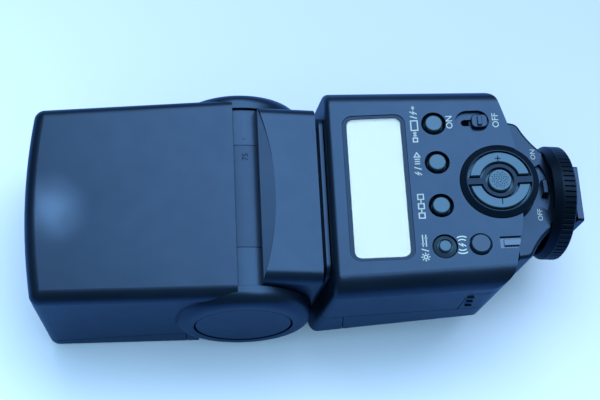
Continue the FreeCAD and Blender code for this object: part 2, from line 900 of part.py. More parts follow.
def neck_screws():
    sink_w = neck_low_w + 1.6
    length = neck_part_w + 5.0 - sink_w
    return [turned(fastener(Vector(u, y, sink_w), side_z, length)) for u, y in neck_post_places()]


def angle_scale():
    sleeve = scale_sector(drum_radius - scale_thick, drum_radius, scale_half - slip / 2.0)
    return turned(sleeve)


def tilt_shaft():
    """Shaft of the neck with the index plate pressed on it."""
    half = disc_floor - 0.1
    shaft = rod_y(0, -half, half, hinge_z, shaft_radius)
    bore = rod_y(0, neck_half - 8.0, half + 1, hinge_z, shaft_radius / 2.0 + fit)
    return shaft.fuse(index_plate()).cut(bore).removeSplitter()


def index_plate():
    """Notched plate inside the neck that sets the bounce stops."""
    y0 = neck_half - neck_wall - 1.5
    disc = rod_y(0, y0, y0 + 1.4, hinge_z, 11.0)
    notches = []
    for angle in (0, 45, 60, 75, 90):
        turn = math.radians(angle - lean)
        x = -11.0 * math.sin(turn)
        z = hinge_z - 11.0 * math.cos(turn)
        notches.append(rod_y(x, y0 - 1, y0 + 3, z, 1.3))
    disc = disc.cut(notches[0].multiFuse(notches[1:]))
    return disc


def neck_collar():
    u1 = collar_u0 + collar_thick
    collar = box(collar_u0, u1, -collar_half, collar_half, collar_low_w, collar_top_w)
    collar = rounded(collar, 4.0, lambda p, e: e.BoundBox.XLength > collar_thick / 2.0)
    spacer = box(neck_end_u, collar_u0, -collar_half + 4, collar_half - 4,
                 collar_low_w + 4, collar_top_w - 4)
    return turned(collar.fuse(spacer).cut(swivel_hole(swivel_radius, 0, big)).removeSplitter())


def swivel_tube():
    flange_u = neck_end_u - neck_wall - 1.5
    tube = swivel_hole(swivel_radius, flange_u, swivel_end_u + 1.0)
    tube = tube.fuse(swivel_hole(swivel_radius + 2.0, flange_u, flange_u + 1.5))
    return turned(tube.cut(swivel_hole(swivel_bore, 0, big)).removeSplitter())


def swivel_bush():
    """Plain bush in the body's end wall that the tube turns in."""
    u0 = collar_u0 + collar_thick + bush_gap
    u1 = body_end_u + wall
    bush = swivel_hole(swivel_radius + bush_thick, u0, u1)
    bush = bush.fuse(swivel_hole(swivel_radius + bush_thick + 2.0, u1, u1 + bush_flange))
    return turned(bush.cut(swivel_hole(swivel_radius + fit, 0, big)).removeSplitter())


def swivel_retainer():
    u0 = body_end_u + wall + bush_flange + slip
    ring = swivel_hole(retainer_radius, u0, u0 + retainer_thick)
    return turned(ring.cut(swivel_hole(swivel_radius, 0, big)))


# ---------------------------------------------------------------- body of the flash
def inset_outline(points, inset):
    """Convex outline, listed anticlockwise, moved inwards by the inset."""
    moved = []
    count = len(points)
    for index in range(count):
        before = points[index - 1]
        here = points[index]
        after = points[(index + 1) % count]
        first = (here[0] - before[0], here[1] - before[1])
        second = (after[0] - here[0], after[1] - here[1])
        first_length = math.hypot(first[0], first[1])
        second_length = math.hypot(second[0], second[1])
        n1 = (-first[1] / first_length, first[0] / first_length)
        n2 = (-second[1] / second_length, second[0] / second_length)
        share = inset / (1.0 + n1[0] * n2[0] + n1[1] * n2[1])
        moved.append((here[0] + share * (n1[0] + n2[0]), here[1] + share * (n1[1] + n2[1])))
    return moved


def front_z(x):
    """Height of the body's front face above the table."""
    x0 = row_x(body_end_u, front_z_head)
    x1 = row_x(body_foot_u, front_z_foot)
    return front_z_head + (front_z_foot - front_z_head) * (x - x0) / (x1 - x0)


def body_half(x):
    x0 = row_x(body_end_u, panel_top)
    share = (x - x0) / (panel_corner_x - x0)
    return body_half_head + (body_half_foot - body_half_head) * share


def section(x, inset):
    """Rounded cross-section of the body, square to X."""
    half = body_half(x) - inset
    low = front_z(x) + inset
    top = panel_top - inset
    r_top = max(body_edge - inset, 0.6)
    r_low = max(front_edge - inset, 0.6)
    k = math.sqrt(0.5)
    corners = ((half, low, r_low, 1, -1), (half, top, r_top, 1, 1),
               (-half, top, r_top, -1, 1), (-half, low, r_low, -1, -1))
    edges = []
    last = None
    first = None
    for y, z, r, sy, sz in corners:
        cy = y - sy * r
        cz = z - sz * r
        side = Vector(x, y, cz)
        flat = Vector(x, cy, z)
        bend = Vector(x, cy + sy * r * k, cz + sz * r * k)
        start, end = (flat, side) if sy * sz < 0 else (side, flat)
        if last is not None:
            edges.append(Part.LineSegment(last, start).toShape())
        else:
            first = start
        edges.append(Part.Arc(start, bend, end).toShape())
        last = end
    edges.append(Part.LineSegment(last, first).toShape())
    return Part.Wire(edges)


def body_plan():
    """Outline of the body in the lean frame: its foot end and the turned-in sides."""
    outline = [(panel_corner_x, body_half_foot), (panel_knee_x, panel_knee_y),
               (panel_end_x, panel_tip_y)]
    right = [(lean_u(x, panel_top), y) for x, y in outline]
    left = [(u, -y) for u, y in right]
    u0 = body_end_u - plan_reach
    wide = body_half_head + (body_half_head - body_half_foot) * plan_reach / right[0][0]
    return [(u0, -wide)] + left + right[::-1] + [(u0, wide)]


def body_profile():
    """Side view of the body, open towards the foot end."""
    far_u = body_foot_u + plan_reach
    return [(row_x(body_end_u, front_z_head), front_z_head),
            (row_x(far_u, front_z_foot), front_z(row_x(far_u, front_z_foot))),
            (row_x(far_u, panel_top), panel_top),
            (row_x(body_end_u, panel_top), panel_top)]


def body_block(inset):
    """Body moved in by the inset; each one is made once."""
    if inset not in made_blocks:
        made_blocks[inset] = make_body_block(inset)
    return made_blocks[inset]


def make_body_block(inset):
    """Outer form of the body, or its inside when inset."""
    reach = panel_end_x + plan_reach
    start = row_x(body_end_u, front_z_head) - plan_reach
    hull = Part.makeLoft([section(start, inset), section(reach, inset)], True, True)
    plan = prism_z(inset_outline(body_plan(), inset), -big / 2.0, big / 2.0)
    corner = max(foot_corner - inset, 0.6)
    corner_u = lean_u(panel_corner_x, panel_top)
    plan = rounded(plan, corner, lambda p, e: is_upright(e) and abs(p.x - corner_u) < 2 + inset)
    profile = prism_y(inset_outline(body_profile(), inset), -big / 2.0, big / 2.0)
    block = hull.common(turned(plan)).common(profile)
    end_u = body_end_u + inset
    edge = max(end_edge - inset, 0.4)
    return rounded(block, edge, lambda p, e: abs(lean_u(p.x, p.z) - end_u) < 0.01)


def door_region(gap):
    """Part of the wall that the battery door takes up, grown by a gap."""
    outline = [(door_x0 - gap, door_z0 - gap), (big, door_z0 - gap),
               (big, door_tab_z + gap), (door_tab_x + tab_slant - gap, door_tab_z + gap),
               (door_tab_x - gap, body_seam_z - seam + gap),
               (door_x0 - gap, body_seam_z - seam + gap)]
    region = prism_y(outline, -big, -door_inner_y + gap)
    return rounded(region, tab_corner + gap,
                   lambda p, e: e.BoundBox.YLength > big / 4.0 and p.x < big / 2.0
                   and p.z > door_tab_z - 0.01)


def body_post_places():
    right = [(x, body_post_y) for x in (body_post_x0, body_post_x1, body_post_x2)]
    return [(body_post_x0, -body_post_y)] + right


def body_posts(z0, z1, radius):
    posts = [rod_z(x, y, z0, z1, radius) for x, y in body_post_places()]
    return posts[0].multiFuse(posts[1:])


def screw_seat(x):
    return front_z(x) + screw_seat_depth


def button_places():
    return [(button_x, side * pitch) for pitch in (button_pitch_outer, button_pitch_inner)
            for side in (-1, 1)]


def switch_rest_x():
    return (switch_x0 + switch_x1 + switch_travel) / 2.0


def switch_slot(half, z0, z1):
    x1 = switch_rest_x() + half
    x0 = x1 - switch_travel - 2 * half
    return slot_z(x0, x1, switch_y, half, z0, z1)


def panel_openings():
    """Everything cut through the wall of the control panel."""
    low = cover_under - 1
    cuts = [plate(display_x0, display_x1, -display_half, display_half, low, big, display_corner)]
    cuts.extend(rod_z(x, y, low, big, button_hole) for x, y in button_places())
    cuts.append(rod_z(lamp_x, lamp_y, low, big, lamp_radius + slip))
    cuts.append(slot_z(switch_x0, switch_x1, switch_y, switch_half, panel_top - switch_pocket, big))
    cuts.append(switch_slot(stem_half + slip, low, big))
    cuts.append(rod_z(dial_x, 0, dial_low_z - 0.1, big, dial_radius + slip))
    cuts.append(box(pipe_x0, big, pipe_y - pipe_half, pipe_y + pipe_half, pipe_low_z, big))
    return cuts[0].multiFuse(cuts[1:])


def body_shell():
    return body_block(0).cut(body_block(wall))


def bush_room():
    hole = swivel_hole(swivel_radius + bush_thick, body_end_u - 2, body_end_u + wall + 1)
    return turned(hole)


def base_passage():
    """Cable opening between the body and the shoe base."""
    passage = box(body_foot_u - wall - 1, body_foot_u + 1, -passage_half_y, passage_half_y,
                  shoe_w - passage_half_w, shoe_w + passage_half_w)
    return turned(passage)


def rear_cover():
    upper = box(-big, big, -big, big, body_seam_z, big)
    cover = body_shell().common(upper)
    posts = body_posts(body_seam_z, panel_top - wall / 2.0, post_radius)
    cover = cover.fuse(posts.common(body_block(wall / 2.0)))
    cover = cover.cut(body_posts(body_seam_z - 1, body_seam_z + 8, fastener_radius))
    cover = cover.cut(door_region(seam)).cut(panel_openings())
    return cover.cut(bush_room()).cut(base_passage()).removeSplitter()


def window_block(grow, z0, z1):
    return plate(window_x0 - grow, window_x1 + grow, -window_half - grow, window_half + grow,
                 z0, z1, window_round + grow)


def cover_knuckle():
    """Fixed hinge knuckle, tied down to the front cover's wall."""
    x0 = knuckle_x0 + knuckle_length + door_travel + 0.3
    x1 = knuckle_x0 + 2 * knuckle_length + 1.2
    barrel = rod_x(x0, x1, hinge_pin_y, hinge_pin_z, knuckle_radius)
    web = box(x0, x1, hinge_pin_y - knuckle_radius / 2.0, hinge_pin_y + knuckle_sweep + 0.2,
              hinge_pin_z - knuckle_sweep - 1.0, hinge_pin_z)
    return barrel.fuse(web).common(body_block(0.3))


def door_sweep_room():
    """Room round the hinge pin that the lower part of the door swings through."""
    x0 = door_x0 - seam
    cone = Part.makeCone(door_sweep, knuckle_sweep, knuckle_x0 - x0,
                         Vector(x0, hinge_pin_y, hinge_pin_z), side_x)
    return cone.fuse(rod_x(knuckle_x0, big, hinge_pin_y, hinge_pin_z, knuckle_sweep))


def front_cover():
    lower = box(-big, big, -big, big, -big, body_seam_z - seam)
    cover = body_shell().common(lower)
    posts = body_posts(0, body_seam_z - seam, boss_radius)
    cover = cover.fuse(posts.common(body_block(wall / 2.0)))
    cover = cover.cut(body_posts(-1, body_seam_z, fastener_radius))
    seats = [rod_z(x, y, -1, screw_seat(x), fastener_head + 0.2) for x, y in body_post_places()]
    cover = cover.cut(seats[0].multiFuse(seats[1:]))
    cover = cover.cut(door_region(seam)).cut(window_block(0, -1, panel_top / 3.0))
    cover = cover.cut(door_sweep_room()).fuse(cover_knuckle())
    pin_bore = rod_x(door_x0, panel_end_x, hinge_pin_y, hinge_pin_z, hinge_pin_radius + fit)
    cover = cover.cut(pin_bore)
    return cover.cut(bush_room()).cut(base_passage()).removeSplitter()


def body_screws():
    top = body_seam_z + 5.0
    return [fastener(Vector(x, y, screw_seat(x)), side_z, top - screw_seat(x))
            for x, y in body_post_places()]


def above_front(low, high):
    """Slab parallel to the front face, between two depths below its outside."""
    x0 = window_x0 - 8
    x1 = window_x1 + 8
    points = [(x0, front_z(x0) + low), (x1, front_z(x1) + low),
              (x1, front_z(x1) + high), (x0, front_z(x0) + high)]
    return prism_y(points, -big, big)


def window_rim_room(gap):
    rim = window_block(window_rim + gap, 0, panel_top / 3.0)
    return rim.common(above_front(wall + fit - gap, wall + fit + window_rim_thick + gap))


def af_window():
    pane = window_block(-slip, 0, panel_top / 3.0).common(above_front(-big / 4.0, wall + 0.3))
    pane = rounded(pane, 1.0, lambda p, e: p.z < 0.01)
    rim = window_rim_room(0).common(body_block(wall + fit))
    hollow = window_block(-slip - window_wall, window_wall, panel_top / 3.0)
    return pane.fuse(rim).cut(hollow).removeSplitter()


def af_lamp():
    """Two emitters of the focus-assist light on their carrier."""
    z0 = window_wall + slip
    carrier = box(lamp_board_x0, lamp_board_x0 + 7.0, -12, 12, z0 + 4.0, z0 + 5.0)
    x = lamp_board_x0 + 3.5
    bulbs = []
    for y in (-7.5, 7.5):
        body = rod_z(x, y, z0, z0 + 4.0, 2.5)
        bulbs.append(rounded(body, 1.5, lambda p, e: p.z < z0 + 0.01))
    return carrier.multiFuse(bulbs).removeSplitter()


# ---------------------------------------------------------------- display and keys
def display_frame():
    top = panel_top - frame_sink
    gap = slip / 2.0
    outer = plate(display_x0 + gap, display_x1 - gap, -display_half + gap, display_half - gap,
                  cover_under, top, display_corner - gap)
    flange = plate(display_x0 - 1, display_x1 + 1, -display_half - 1, display_half + 1,
                   cover_under - 1.0, cover_under, display_corner)
    inner = plate(display_x0 + frame_width_x, display_x1 - frame_width_x,
                  -display_half + frame_width_y, display_half - frame_width_y,
                  cover_under - 2, big, display_corner - frame_width_y)
    return outer.fuse(flange).cut(inner).removeSplitter()


def display_window():
    gap = slip / 2.0
    top = panel_top - frame_sink - window_sink
    return plate(display_x0 + frame_width_x + gap, display_x1 - frame_width_x - gap,
                 -display_half + frame_width_y + gap, display_half - frame_width_y - gap,
                 top - window_thick, top, display_corner - frame_width_y - gap)


def display_module():
    top = panel_top - frame_sink - window_sink - window_thick
    gap = slip / 2.0
    return plate(display_x0 + frame_width_x + gap, display_x1 - frame_width_x - gap,
                 -display_half + frame_width_y + gap, display_half - frame_width_y - gap,
                 board_top, top - 0.05, display_corner - frame_width_y - gap)


def main_board():
    low = board_top - board_thick
    board = box(board_x0, board_x1, -board_half, board_half, low, board_top)
    lobe = box(board_x1 - 1, board_x1 + 5.5, -key_outer - 0.4, key_outer + 0.4, low, board_top)
    board = board.fuse(lobe)
    board = board.cut(body_posts(low - 1, board_top + 1, post_radius + slip))
    return board.fuse(transformer()).removeSplitter()


def dial_key_places():
    """Centres of the pads below the plus, minus and select keys."""
    mid = (key_outer + key_inner) / 2.0
    return [(dial_x, mid), (dial_x, -mid), (dial_x, 0)]


def key_mat():
    """Rubber sheet with one dome below every key."""
    mat = box(mat_x0, mat_x1, -mat_half, mat_half, board_top, board_top + mat_thick)
    disc = rod_z(dial_x, 0, board_top, board_top + mat_thick, dial_radius - dial_wall - 0.4)
    mat = mat.cut(rod_z(dial_x, 0, 0, big, dial_radius + 0.2))
    bridge = box(dial_x - dial_radius - 1, dial_x - dial_radius + 4, -4, 4, board_top,
                 board_top + mat_thick)
    domes = [dome(x, y, dome_top) for x, y in button_places()]
    domes.append(dome(lamp_x, lamp_y, dome_top))
    domes.extend(dome(x, y, dial_flange_low - key_gap) for x, y in dial_key_places())
    return mat.multiFuse([disc, bridge] + domes).removeSplitter()


def dome(x, y, top):
    low = board_top + mat_thick / 2.0
    return Part.makeCone(dome_radius, dome_radius * 0.7, top - low, Vector(x, y, low), side_z)


def round_key(x, y, radius, rise, edge):
    """Push button: cap through the panel and a flange below it."""
    top = panel_top + rise
    cap = rod_z(x, y, key_flange_low, top, radius)
    cap = rounded(cap, edge, lambda p, e: p.z > top - 0.01)
    flange = rod_z(x, y, key_flange_low, key_flange_top, button_hole + 0.9)
    return cap.fuse(flange).removeSplitter()


def ringed_key(x, y):
    """Push button with a small cap standing in a sloping ring."""
    top = panel_top + button_rise
    ring_low = panel_top - ring_sink
    flange = rod_z(x, y, key_flange_low, key_flange_top, button_hole + 0.9)
    body = rod_z(x, y, key_flange_low, ring_low, ring_radius)
    slope = Part.makeCone(ring_radius, small_radius + ring_groove, ring_sink,
                          Vector(x, y, ring_low), side_z)
    groove = rod_z(x, y, ring_low, big, small_radius + ring_groove)
    cap = rod_z(x, y, key_flange_low, top, small_radius)
    cap = rounded(cap, button_round, lambda p, e: p.z > top - 0.01)
    return body.fuse(slope).cut(groove).multiFuse([cap, flange]).removeSplitter()


def power_switch():
    x = switch_rest_x()
    low = panel_top - switch_pocket + slip / 2.0
    top = panel_top + switch_rise
    knob = plate(x - switch_knob, x + switch_knob, switch_y - switch_knob_half,
                 switch_y + switch_knob_half, low, top, switch_knob_round)
    knob = rounded(knob, 0.4, lambda p, e: p.z > top - 0.01)
    ridge_top = top + switch_ridge
    ridge = plate(x - switch_ridge_half, x + switch_ridge_half, switch_y - switch_ridge_reach,
                  switch_y + switch_ridge_reach, top - 0.2, ridge_top, 0.5)
    knob = knob.fuse(rounded(ridge, 0.25, lambda p, e: p.z > ridge_top - 0.01))
    stem = rod_z(x, switch_y, key_flange_low, low + 0.5, stem_half)
    slider = box(x - 3.0, x + 3.0, switch_y - 2.2, switch_y + 2.2, key_flange_low, key_flange_top)
    return knob.multiFuse([stem, slider]).removeSplitter()


# ---------------------------------------------------------------- dial
def key_sector(side, outer, inner, split, z0, z1):
    """Half ring on one side of the dial, its ends cut parallel to X."""
    ring = rod_z(dial_x, 0, z0, z1, outer).cut(rod_z(dial_x, 0, z0, z1, inner))
    if side > 0:
        keep = box(dial_x - outer - 1, dial_x + outer + 1, split, outer + 1, z0, z1)
    else:
        keep = box(dial_x - outer - 1, dial_x + outer + 1, -outer - 1, -split, z0, z1)
    return ring.common(keep)


def dial_collar():
    top = panel_top + dial_rise
    cup = rod_z(dial_x, 0, dial_low_z, top - dial_slope, dial_radius)
    rim = Part.makeCone(dial_radius, key_outer + 0.3, dial_slope,
                        Vector(dial_x, 0, top - dial_slope), side_z)
    cup = cup.fuse(rim).removeSplitter()
    cup = cup.cut(rod_z(dial_x, 0, 0, top - dial_plate, dial_radius - dial_wall))
    low = box(0, body_inside_end_x, -big, big, 0, board_top + slip)
    cup = cup.cut(low).cut(turned(base_block()))
    z0 = top - dial_plate - 1
    for side in (-1, 1):
        cup = cup.cut(key_sector(side, key_outer, key_inner, key_split, z0, top + 1))
    cup = cup.cut(rod_z(dial_x, 0, z0, top + 1, select_hole))
    notch = box(dial_x - dial_radius - 1, dial_x - dial_radius + 4, -4 - slip, 4 + slip, 0,
                board_top + mat_thick + slip)
    return cup.cut(notch).removeSplitter()


def sector_key(side):
    top = panel_top + dial_rise + key_rise
    gap = key_ring_gap
    cap = key_sector(side, key_outer - gap, key_inner + gap, key_split + gap,
                     dial_flange_low, top)
    cap = rounded(cap, 0.3, lambda p, e: p.z > top - 0.01)
    flange = key_sector(side, key_outer + key_lap, key_inner - key_lap, key_split - key_lap,
                        dial_flange_low, dial_flange_low + key_flange)
    return cap.fuse(flange).removeSplitter()


def select_key():
    top = panel_top + dial_rise + key_rise
    cap = rod_z(dial_x, 0, dial_flange_low, top, select_radius)
    cap = rounded(cap, 0.4, lambda p, e: p.z > top - 0.01)
    flange = rod_z(dial_x, 0, dial_flange_low, dial_flange_low + key_flange,
                   key_inner - key_lap - slip)
    return cap.fuse(flange).removeSplitter()


def slave_switch():
    top = slave_surface_z + slave_rise
    key = sector_z(dial_x, 0, slave_knob_inner, slave_knob_outer, slave_knob_low,
                   slave_knob_high, slave_floor_z + slip / 2.0, top)
    return rounded(key, slave_round, lambda p, e: p.z > top - 0.01)


def light_pipe():
    gap = slip / 2.0
    floor = panel_top - pipe_sink
    base = box(pipe_x0 + gap, big, pipe_y - pipe_half + gap, pipe_y + pipe_half - gap,
               pipe_low_z + gap, floor)
    rod = rod_x(pipe_x0 + pipe_setback, big, pipe_y, floor, pipe_radius)
    return base.fuse(rod).common(body_block(0.1)).removeSplitter()


# ---------------------------------------------------------------- batteries and circuit
def cell_places():
    """Three cells in the lower row and one above the last of them."""
    return [(x, cell_z) for x in cell_low_x] + [(cell_low_x[2], cell_high_z)]


def battery_cells():
    """Four AA cells, neighbours turned end for end."""
    cells = []
    for index, (x, z) in enumerate(cell_places()):
        turned_round = index in (1, 3)
        y0 = cell_y0 + (nub_height if turned_round else 0.0)
        y1 = y0 + cell_length - nub_height
        can = rod_y(x, y0, y1, z, cell_radius)
        can = rounded(can, 0.6, lambda p, e: e.Length > cell_radius * 5)
        if turned_round:
            nub = rod_y(x, y0 - nub_height, y0 + 1, z, nub_radius)
        else:
            nub = rod_y(x, y1 - 1, y1 + nub_height, z, nub_radius)
        cells.append(can.fuse(nub).removeSplitter())
    return cells


def battery_box():
    room = cell_radius + slip
    x0 = cell_low_x[0] - room - box_wall
    x1 = cell_low_x[2] + room + box_wall
    z0 = cell_z - room - box_wall
    y1 = cell_y1 + contact_thick + box_wall
    row = box(x0, x1, cell_y0, y1, z0, cell_z + room + box_wall)
    top = min(cell_high_z + room + box_wall, board_top - board_thick - 0.1)
    tower = box(cell_low_x[2] - room - box_wall, x1, cell_y0, y1, cell_z, top)
    case = row.fuse(tower).common(body_block(wall + slip)).cut(window_rim_room(slip))
    case = case.cut(turned(swivel_hole(swivel_radius + swing, 0, swivel_end_u + 1.0 + swing)))
    room_y = cell_y1 + contact_thick
    bores = [rod_y(x, cell_y0 - 1, room_y, z, room) for x, z in cell_places()]
    lift = box(cell_low_x[2] - room, cell_low_x[2] + room, cell_y0 - 1, room_y, cell_z, cell_high_z)
    aisle = box(cell_low_x[0], cell_low_x[2], cell_y0 - 1, room_y, cell_z - 4, cell_z + 4)
    return case.cut(bores[0].multiFuse(bores[1:] + [lift, aisle])).removeSplitter()


def battery_plates():
    """Contact plates against the end wall of the case."""
    y1 = cell_y1 + contact_thick
    first = box(cell_low_x[0] - 3.5, cell_low_x[0] + 3.5, cell_y1, y1, cell_z - 4, cell_z + 4)
    link = box(cell_low_x[1] - 3.5, cell_low_x[2] + 3.5, cell_y1, y1, cell_z - 4, cell_z + 4)
    last = box(cell_low_x[2] - 3.5, cell_low_x[2] + 3.5, cell_y1, y1, cell_high_z - 4,
               cell_high_z + 4)
    return [first, link, last]


def door_plate_y():
    return -body_half(cell_low_x[2]) + wall + 0.8


def stud_x():
    return door_tab_x + stud_radius + 0.6


def door_contacts():
    """Contact strips inside the battery door: studs for positive ends, springs for others."""
    y0 = door_plate_y()
    y1 = y0 + contact_thick
    pair = box(cell_low_x[0] - 3.5, cell_low_x[1] + 3.5, y0, y1, contact_z0, contact_z1)
    pair = pair.fuse(rod_y(cell_low_x[1], y0, cell_y0, cell_z + 1.5, stud_radius))
    foot = box(cell_low_x[2] - 3.5, cell_low_x[2] + 3.5, y0, y1, contact_z0, contact_z1)
    rise = box(stud_x() - stud_radius, stud_x() + stud_radius, y0, y1, contact_z0, contact_high_z)
    stud = rod_y(stud_x(), y0, cell_y0, contact_high_z - stud_radius, stud_radius)
    springs = battery_springs()
    return [pair.fuse(springs[0]), foot.multiFuse([rise, stud, springs[1]])]


def coil_spring(x, z, y0, y1):
    """Coil spring along Y between two faces."""
    rise = y1 - y0 - 2 * spring_wire
    helix = Part.makeHelix(rise / spring_turns, rise, spring_radius)
    ring = Part.Wire(Part.makeCircle(spring_wire, Vector(spring_radius, 0, 0), side_y))
    coil = Part.Wire(helix).makePipeShell([ring], True, True)
    coil.Placement = Placement(Vector(x, y0 + spring_wire, z), Rotation(side_z, side_y))
    return coil


def battery_springs():
    y0 = door_plate_y() + contact_thick
    z = cell_z + 1.5
    return [coil_spring(x, z, y0 - spring_wire, cell_y0) for x in (cell_low_x[0], cell_low_x[2])]


def door_knuckle_starts():
    second = knuckle_x0 + 2 * knuckle_length + 1.5
    return (knuckle_x0, second)


def battery_door():
    door = body_shell().common(door_region(0))
    x_notch = knuckle_x0 + knuckle_length
    notch = rod_x(x_notch, x_notch + knuckle_length + 1.5, hinge_pin_y, hinge_pin_z,
                  2 * knuckle_radius - 0.2)
    door = door.cut(notch)
    barrels = [rod_x(x, x + knuckle_length, hinge_pin_y, hinge_pin_z, knuckle_radius)
               for x in door_knuckle_starts()]
    barrels = [barrel.common(body_block(0.3)) for barrel in barrels]
    y1 = door_plate_y()
    mid_z = (contact_z0 + contact_z1) / 2.0
    pads = [box(x - 1.5, x + 1.5, -body_half(x) + wall / 2.0, y1, mid_z - 2, mid_z + 2)
            for x in cell_low_x]
    pads.append(box(stud_x() - 1.5, stud_x() + 1.5, -body_half(stud_x()) + wall / 2.0, y1,
                    contact_high_z - 5, contact_high_z - 1))
    ridges = []
    for index in range(3):
        z = door_tab_z - grip_drop - index * grip_pitch
        y = -body_half(grip_x0)
        ridges.append(box(grip_x0, grip_x0 + grip_length, y - grip_rise, y + wall / 2.0,
                          z - grip_half, z + grip_half))
    door = door.multiFuse(barrels + pads + ridges)
    door = door.cut(door_groove())
    bore = rod_x(door_x0, panel_end_x, hinge_pin_y, hinge_pin_z, hinge_pin_radius + fit)
    return door.cut(bore).removeSplitter()


def door_groove():
    """Shallow line across the door's tab that carries on the seam of the covers."""
    high = body_seam_z - seam
    band = box(door_tab_x - 1, groove_end_x, -big, 0, high - seam, high)
    return band.common(body_block(-1.0).cut(body_block(groove_depth)))


def door_hinge_pin():
    x1 = door_knuckle_starts()[1] + knuckle_length
    return rod_x(knuckle_x0 + 0.3, x1 - 0.3, hinge_pin_y, hinge_pin_z, hinge_pin_radius)


def main_capacitor():
    half = cap_length / 2.0
    can = rod_y(cap_x, -half, half, cap_z, cap_radius)
    can = rounded(can, 0.8, lambda p, e: e.Length > cap_radius * 5)
    groove = ring_y(cap_x, half - 4.0, half - 3.2, cap_z, cap_radius + 1, cap_radius - 0.4)
    legs = [rod_y(cap_x + dx, half - 1, half + 2.5, cap_z, 0.5) for dx in (-2.5, 2.5)]
    return can.cut(groove).multiFuse(legs).removeSplitter()


def transformer():
    """Ferrite core and winding under the main board."""
    top = board_top - board_thick
    x1 = transformer_x0 + transformer_size
    y1 = transformer_y0 + transformer_size
    core = box(transformer_x0, x1, transformer_y0, y1, top - transformer_size, top)
    for side in (0, 1):
        y = transformer_y0 + 2.0 if side == 0 else y1 - 4.0
        core = core.cut(box(transformer_x0 - 1, transformer_x0 + 1.0, y, y + 2.0,
                            top - transformer_size + 1.5, top - 1.5))
    return core


# ---------------------------------------------------------------- shoe (lean frame)
def base_outline(inset):
    """Waisted outline of the shoe base seen from above, with concave flanks."""
    u0 = body_foot_u
    u1 = base_end_u - inset
    wide = base_half_wide - inset
    knee_u = base_knee_u - inset / 3.0
    knee_y = base_knee_y - inset
    tip = base_tip_y - inset
    mid_u = (knee_u + u1) / 2.0
    mid_y = (knee_y + tip) / 2.0
    chord = math.hypot(u1 - knee_u, knee_y - tip)
    bow_u = mid_u - base_bow * (knee_y - tip) / chord
    bow_y = mid_y - base_bow * (u1 - knee_u) / chord
    points = [Vector(u0, -wide, 0), Vector(knee_u, -knee_y, 0), Vector(u1, -tip, 0),
              Vector(u1, tip, 0), Vector(knee_u, knee_y, 0), Vector(u0, wide, 0)]
    edges = [
        Part.LineSegment(points[0], points[1]).toShape(),
        Part.Arc(points[1], Vector(bow_u, -bow_y, 0), points[2]).toShape(),
        Part.LineSegment(points[2], points[3]).toShape(),
        Part.Arc(points[3], Vector(bow_u, bow_y, 0), points[4]).toShape(),
        Part.LineSegment(points[4], points[5]).toShape(),
        Part.LineSegment(points[5], points[0]).toShape(),
    ]
    return Part.Wire(edges)


def base_form(inset):
    low = shoe_w - base_half_w + inset
    height = 2 * (base_half_w - inset)
    block = Part.Face(base_outline(inset)).extrude(Vector(0, 0, height))
    block.translate(Vector(0, 0, low))
    block = rounded(block, base_knee_round,
                    lambda p, e: is_upright(e) and abs(p.x - base_knee_u) < 2)
    edge = max(base_edge - inset, 0.8)
    return rounded(block, edge,
                   lambda p, e: (abs(p.z - low) < 0.01 or abs(p.z - low - height) < 0.01)
                   and body_foot_u + 0.01 < p.x < base_end_u - inset - 0.01)


def base_block():
    return base_form(0)


def shoe_rod(u0, u1, radius):
    return Part.makeCylinder(radius, u1 - u0, Vector(u0, 0, shoe_w), side_x)


def shoe_base():
    base = base_form(0).cut(base_form(base_wall))
    anchor = shoe_rod(base_end_u - base_wall - anchor_length, base_end_u, stem_radius + 2.0)
    base = base.fuse(anchor)
    base = base.cut(shoe_rod(body_foot_u, wheel_end_u, stem_radius))
    relief = shoe_rod(wheel_u0 - swing, wheel_end_u, big / 4.0)
    relief = relief.cut(shoe_rod(wheel_u0 - swing, wheel_end_u, wheel_cup - swing))
    base = base.cut(relief)
    placed = turned(base)
    slot = sector_z(dial_x, 0, slave_inner, slave_outer, slave_low, slave_high,
                    slave_floor_z, panel_top)
    placed = placed.cut(slot)
    return placed.removeSplitter()


def wheel_profile():
    """Half section of the lock wheel: (u, r) points."""
    return [
        (wheel_u0, wheel_lip), (wheel_rim_u, wheel_radius), (wheel_end_u - 0.5, wheel_radius),
        (wheel_end_u, wheel_radius - 0.5), (wheel_end_u, stem_radius + fit),
        (wheel_end_u - wheel_web, stem_radius + fit), (wheel_end_u - wheel_web, wheel_cup),
        (wheel_u0, wheel_cup),
    ]


def lock_wheel():
    """Knurled locking wheel round the shoe stem."""
    points = [Vector(u, 0, shoe_w + r) for u, r in wheel_profile()]
    wheel = Part.Face(polygon(points)).revolve(Vector(0, 0, shoe_w), side_x, 360)
    groove_half = math.pi * wheel_radius / rib_count * 0.42
    rim_top = shoe_w + wheel_radius
    points = [(-groove_half, rim_top + 0.1), (0, rim_top - rib_cut), (groove_half, rim_top + 0.1)]
    u0 = wheel_end_u - 0.5 - rib_band
    wire = polygon([Vector(u0, y, z) for y, z in points])
    cutter = Part.Face(wire).extrude(Vector(rib_band + 1, 0, 0))
    cuts = []
    for index in range(rib_count):
        one = cutter.copy()
        one.rotate(Vector(0, 0, shoe_w), side_x, 360.0 * index / rib_count)
        cuts.append(one)
    return turned(wheel.cut(Part.makeCompound(cuts)))


def shoe_plate(u0, thick, half_y, half_w, radius):
    block = box(u0, u0 + thick, -half_y, half_y, shoe_w - half_w, shoe_w + half_w)
    return rounded(block, radius, lambda p, e: e.BoundBox.XLength > 0.9 * thick)


def clamp_plate():
    u0 = wheel_end_u + clamp_gap
    clamp = shoe_plate(u0, clamp_thick, clamp_half_y, clamp_half_w, foot_corner_r)
    clamp = clamp.cut(shoe_rod(u0 - 1, u0 + 2, stem_radius + fit))
    return turned(clamp.cut(lock_pin_rod(u0 - 1, u0 + 2, lock_pin_radius + fit)))


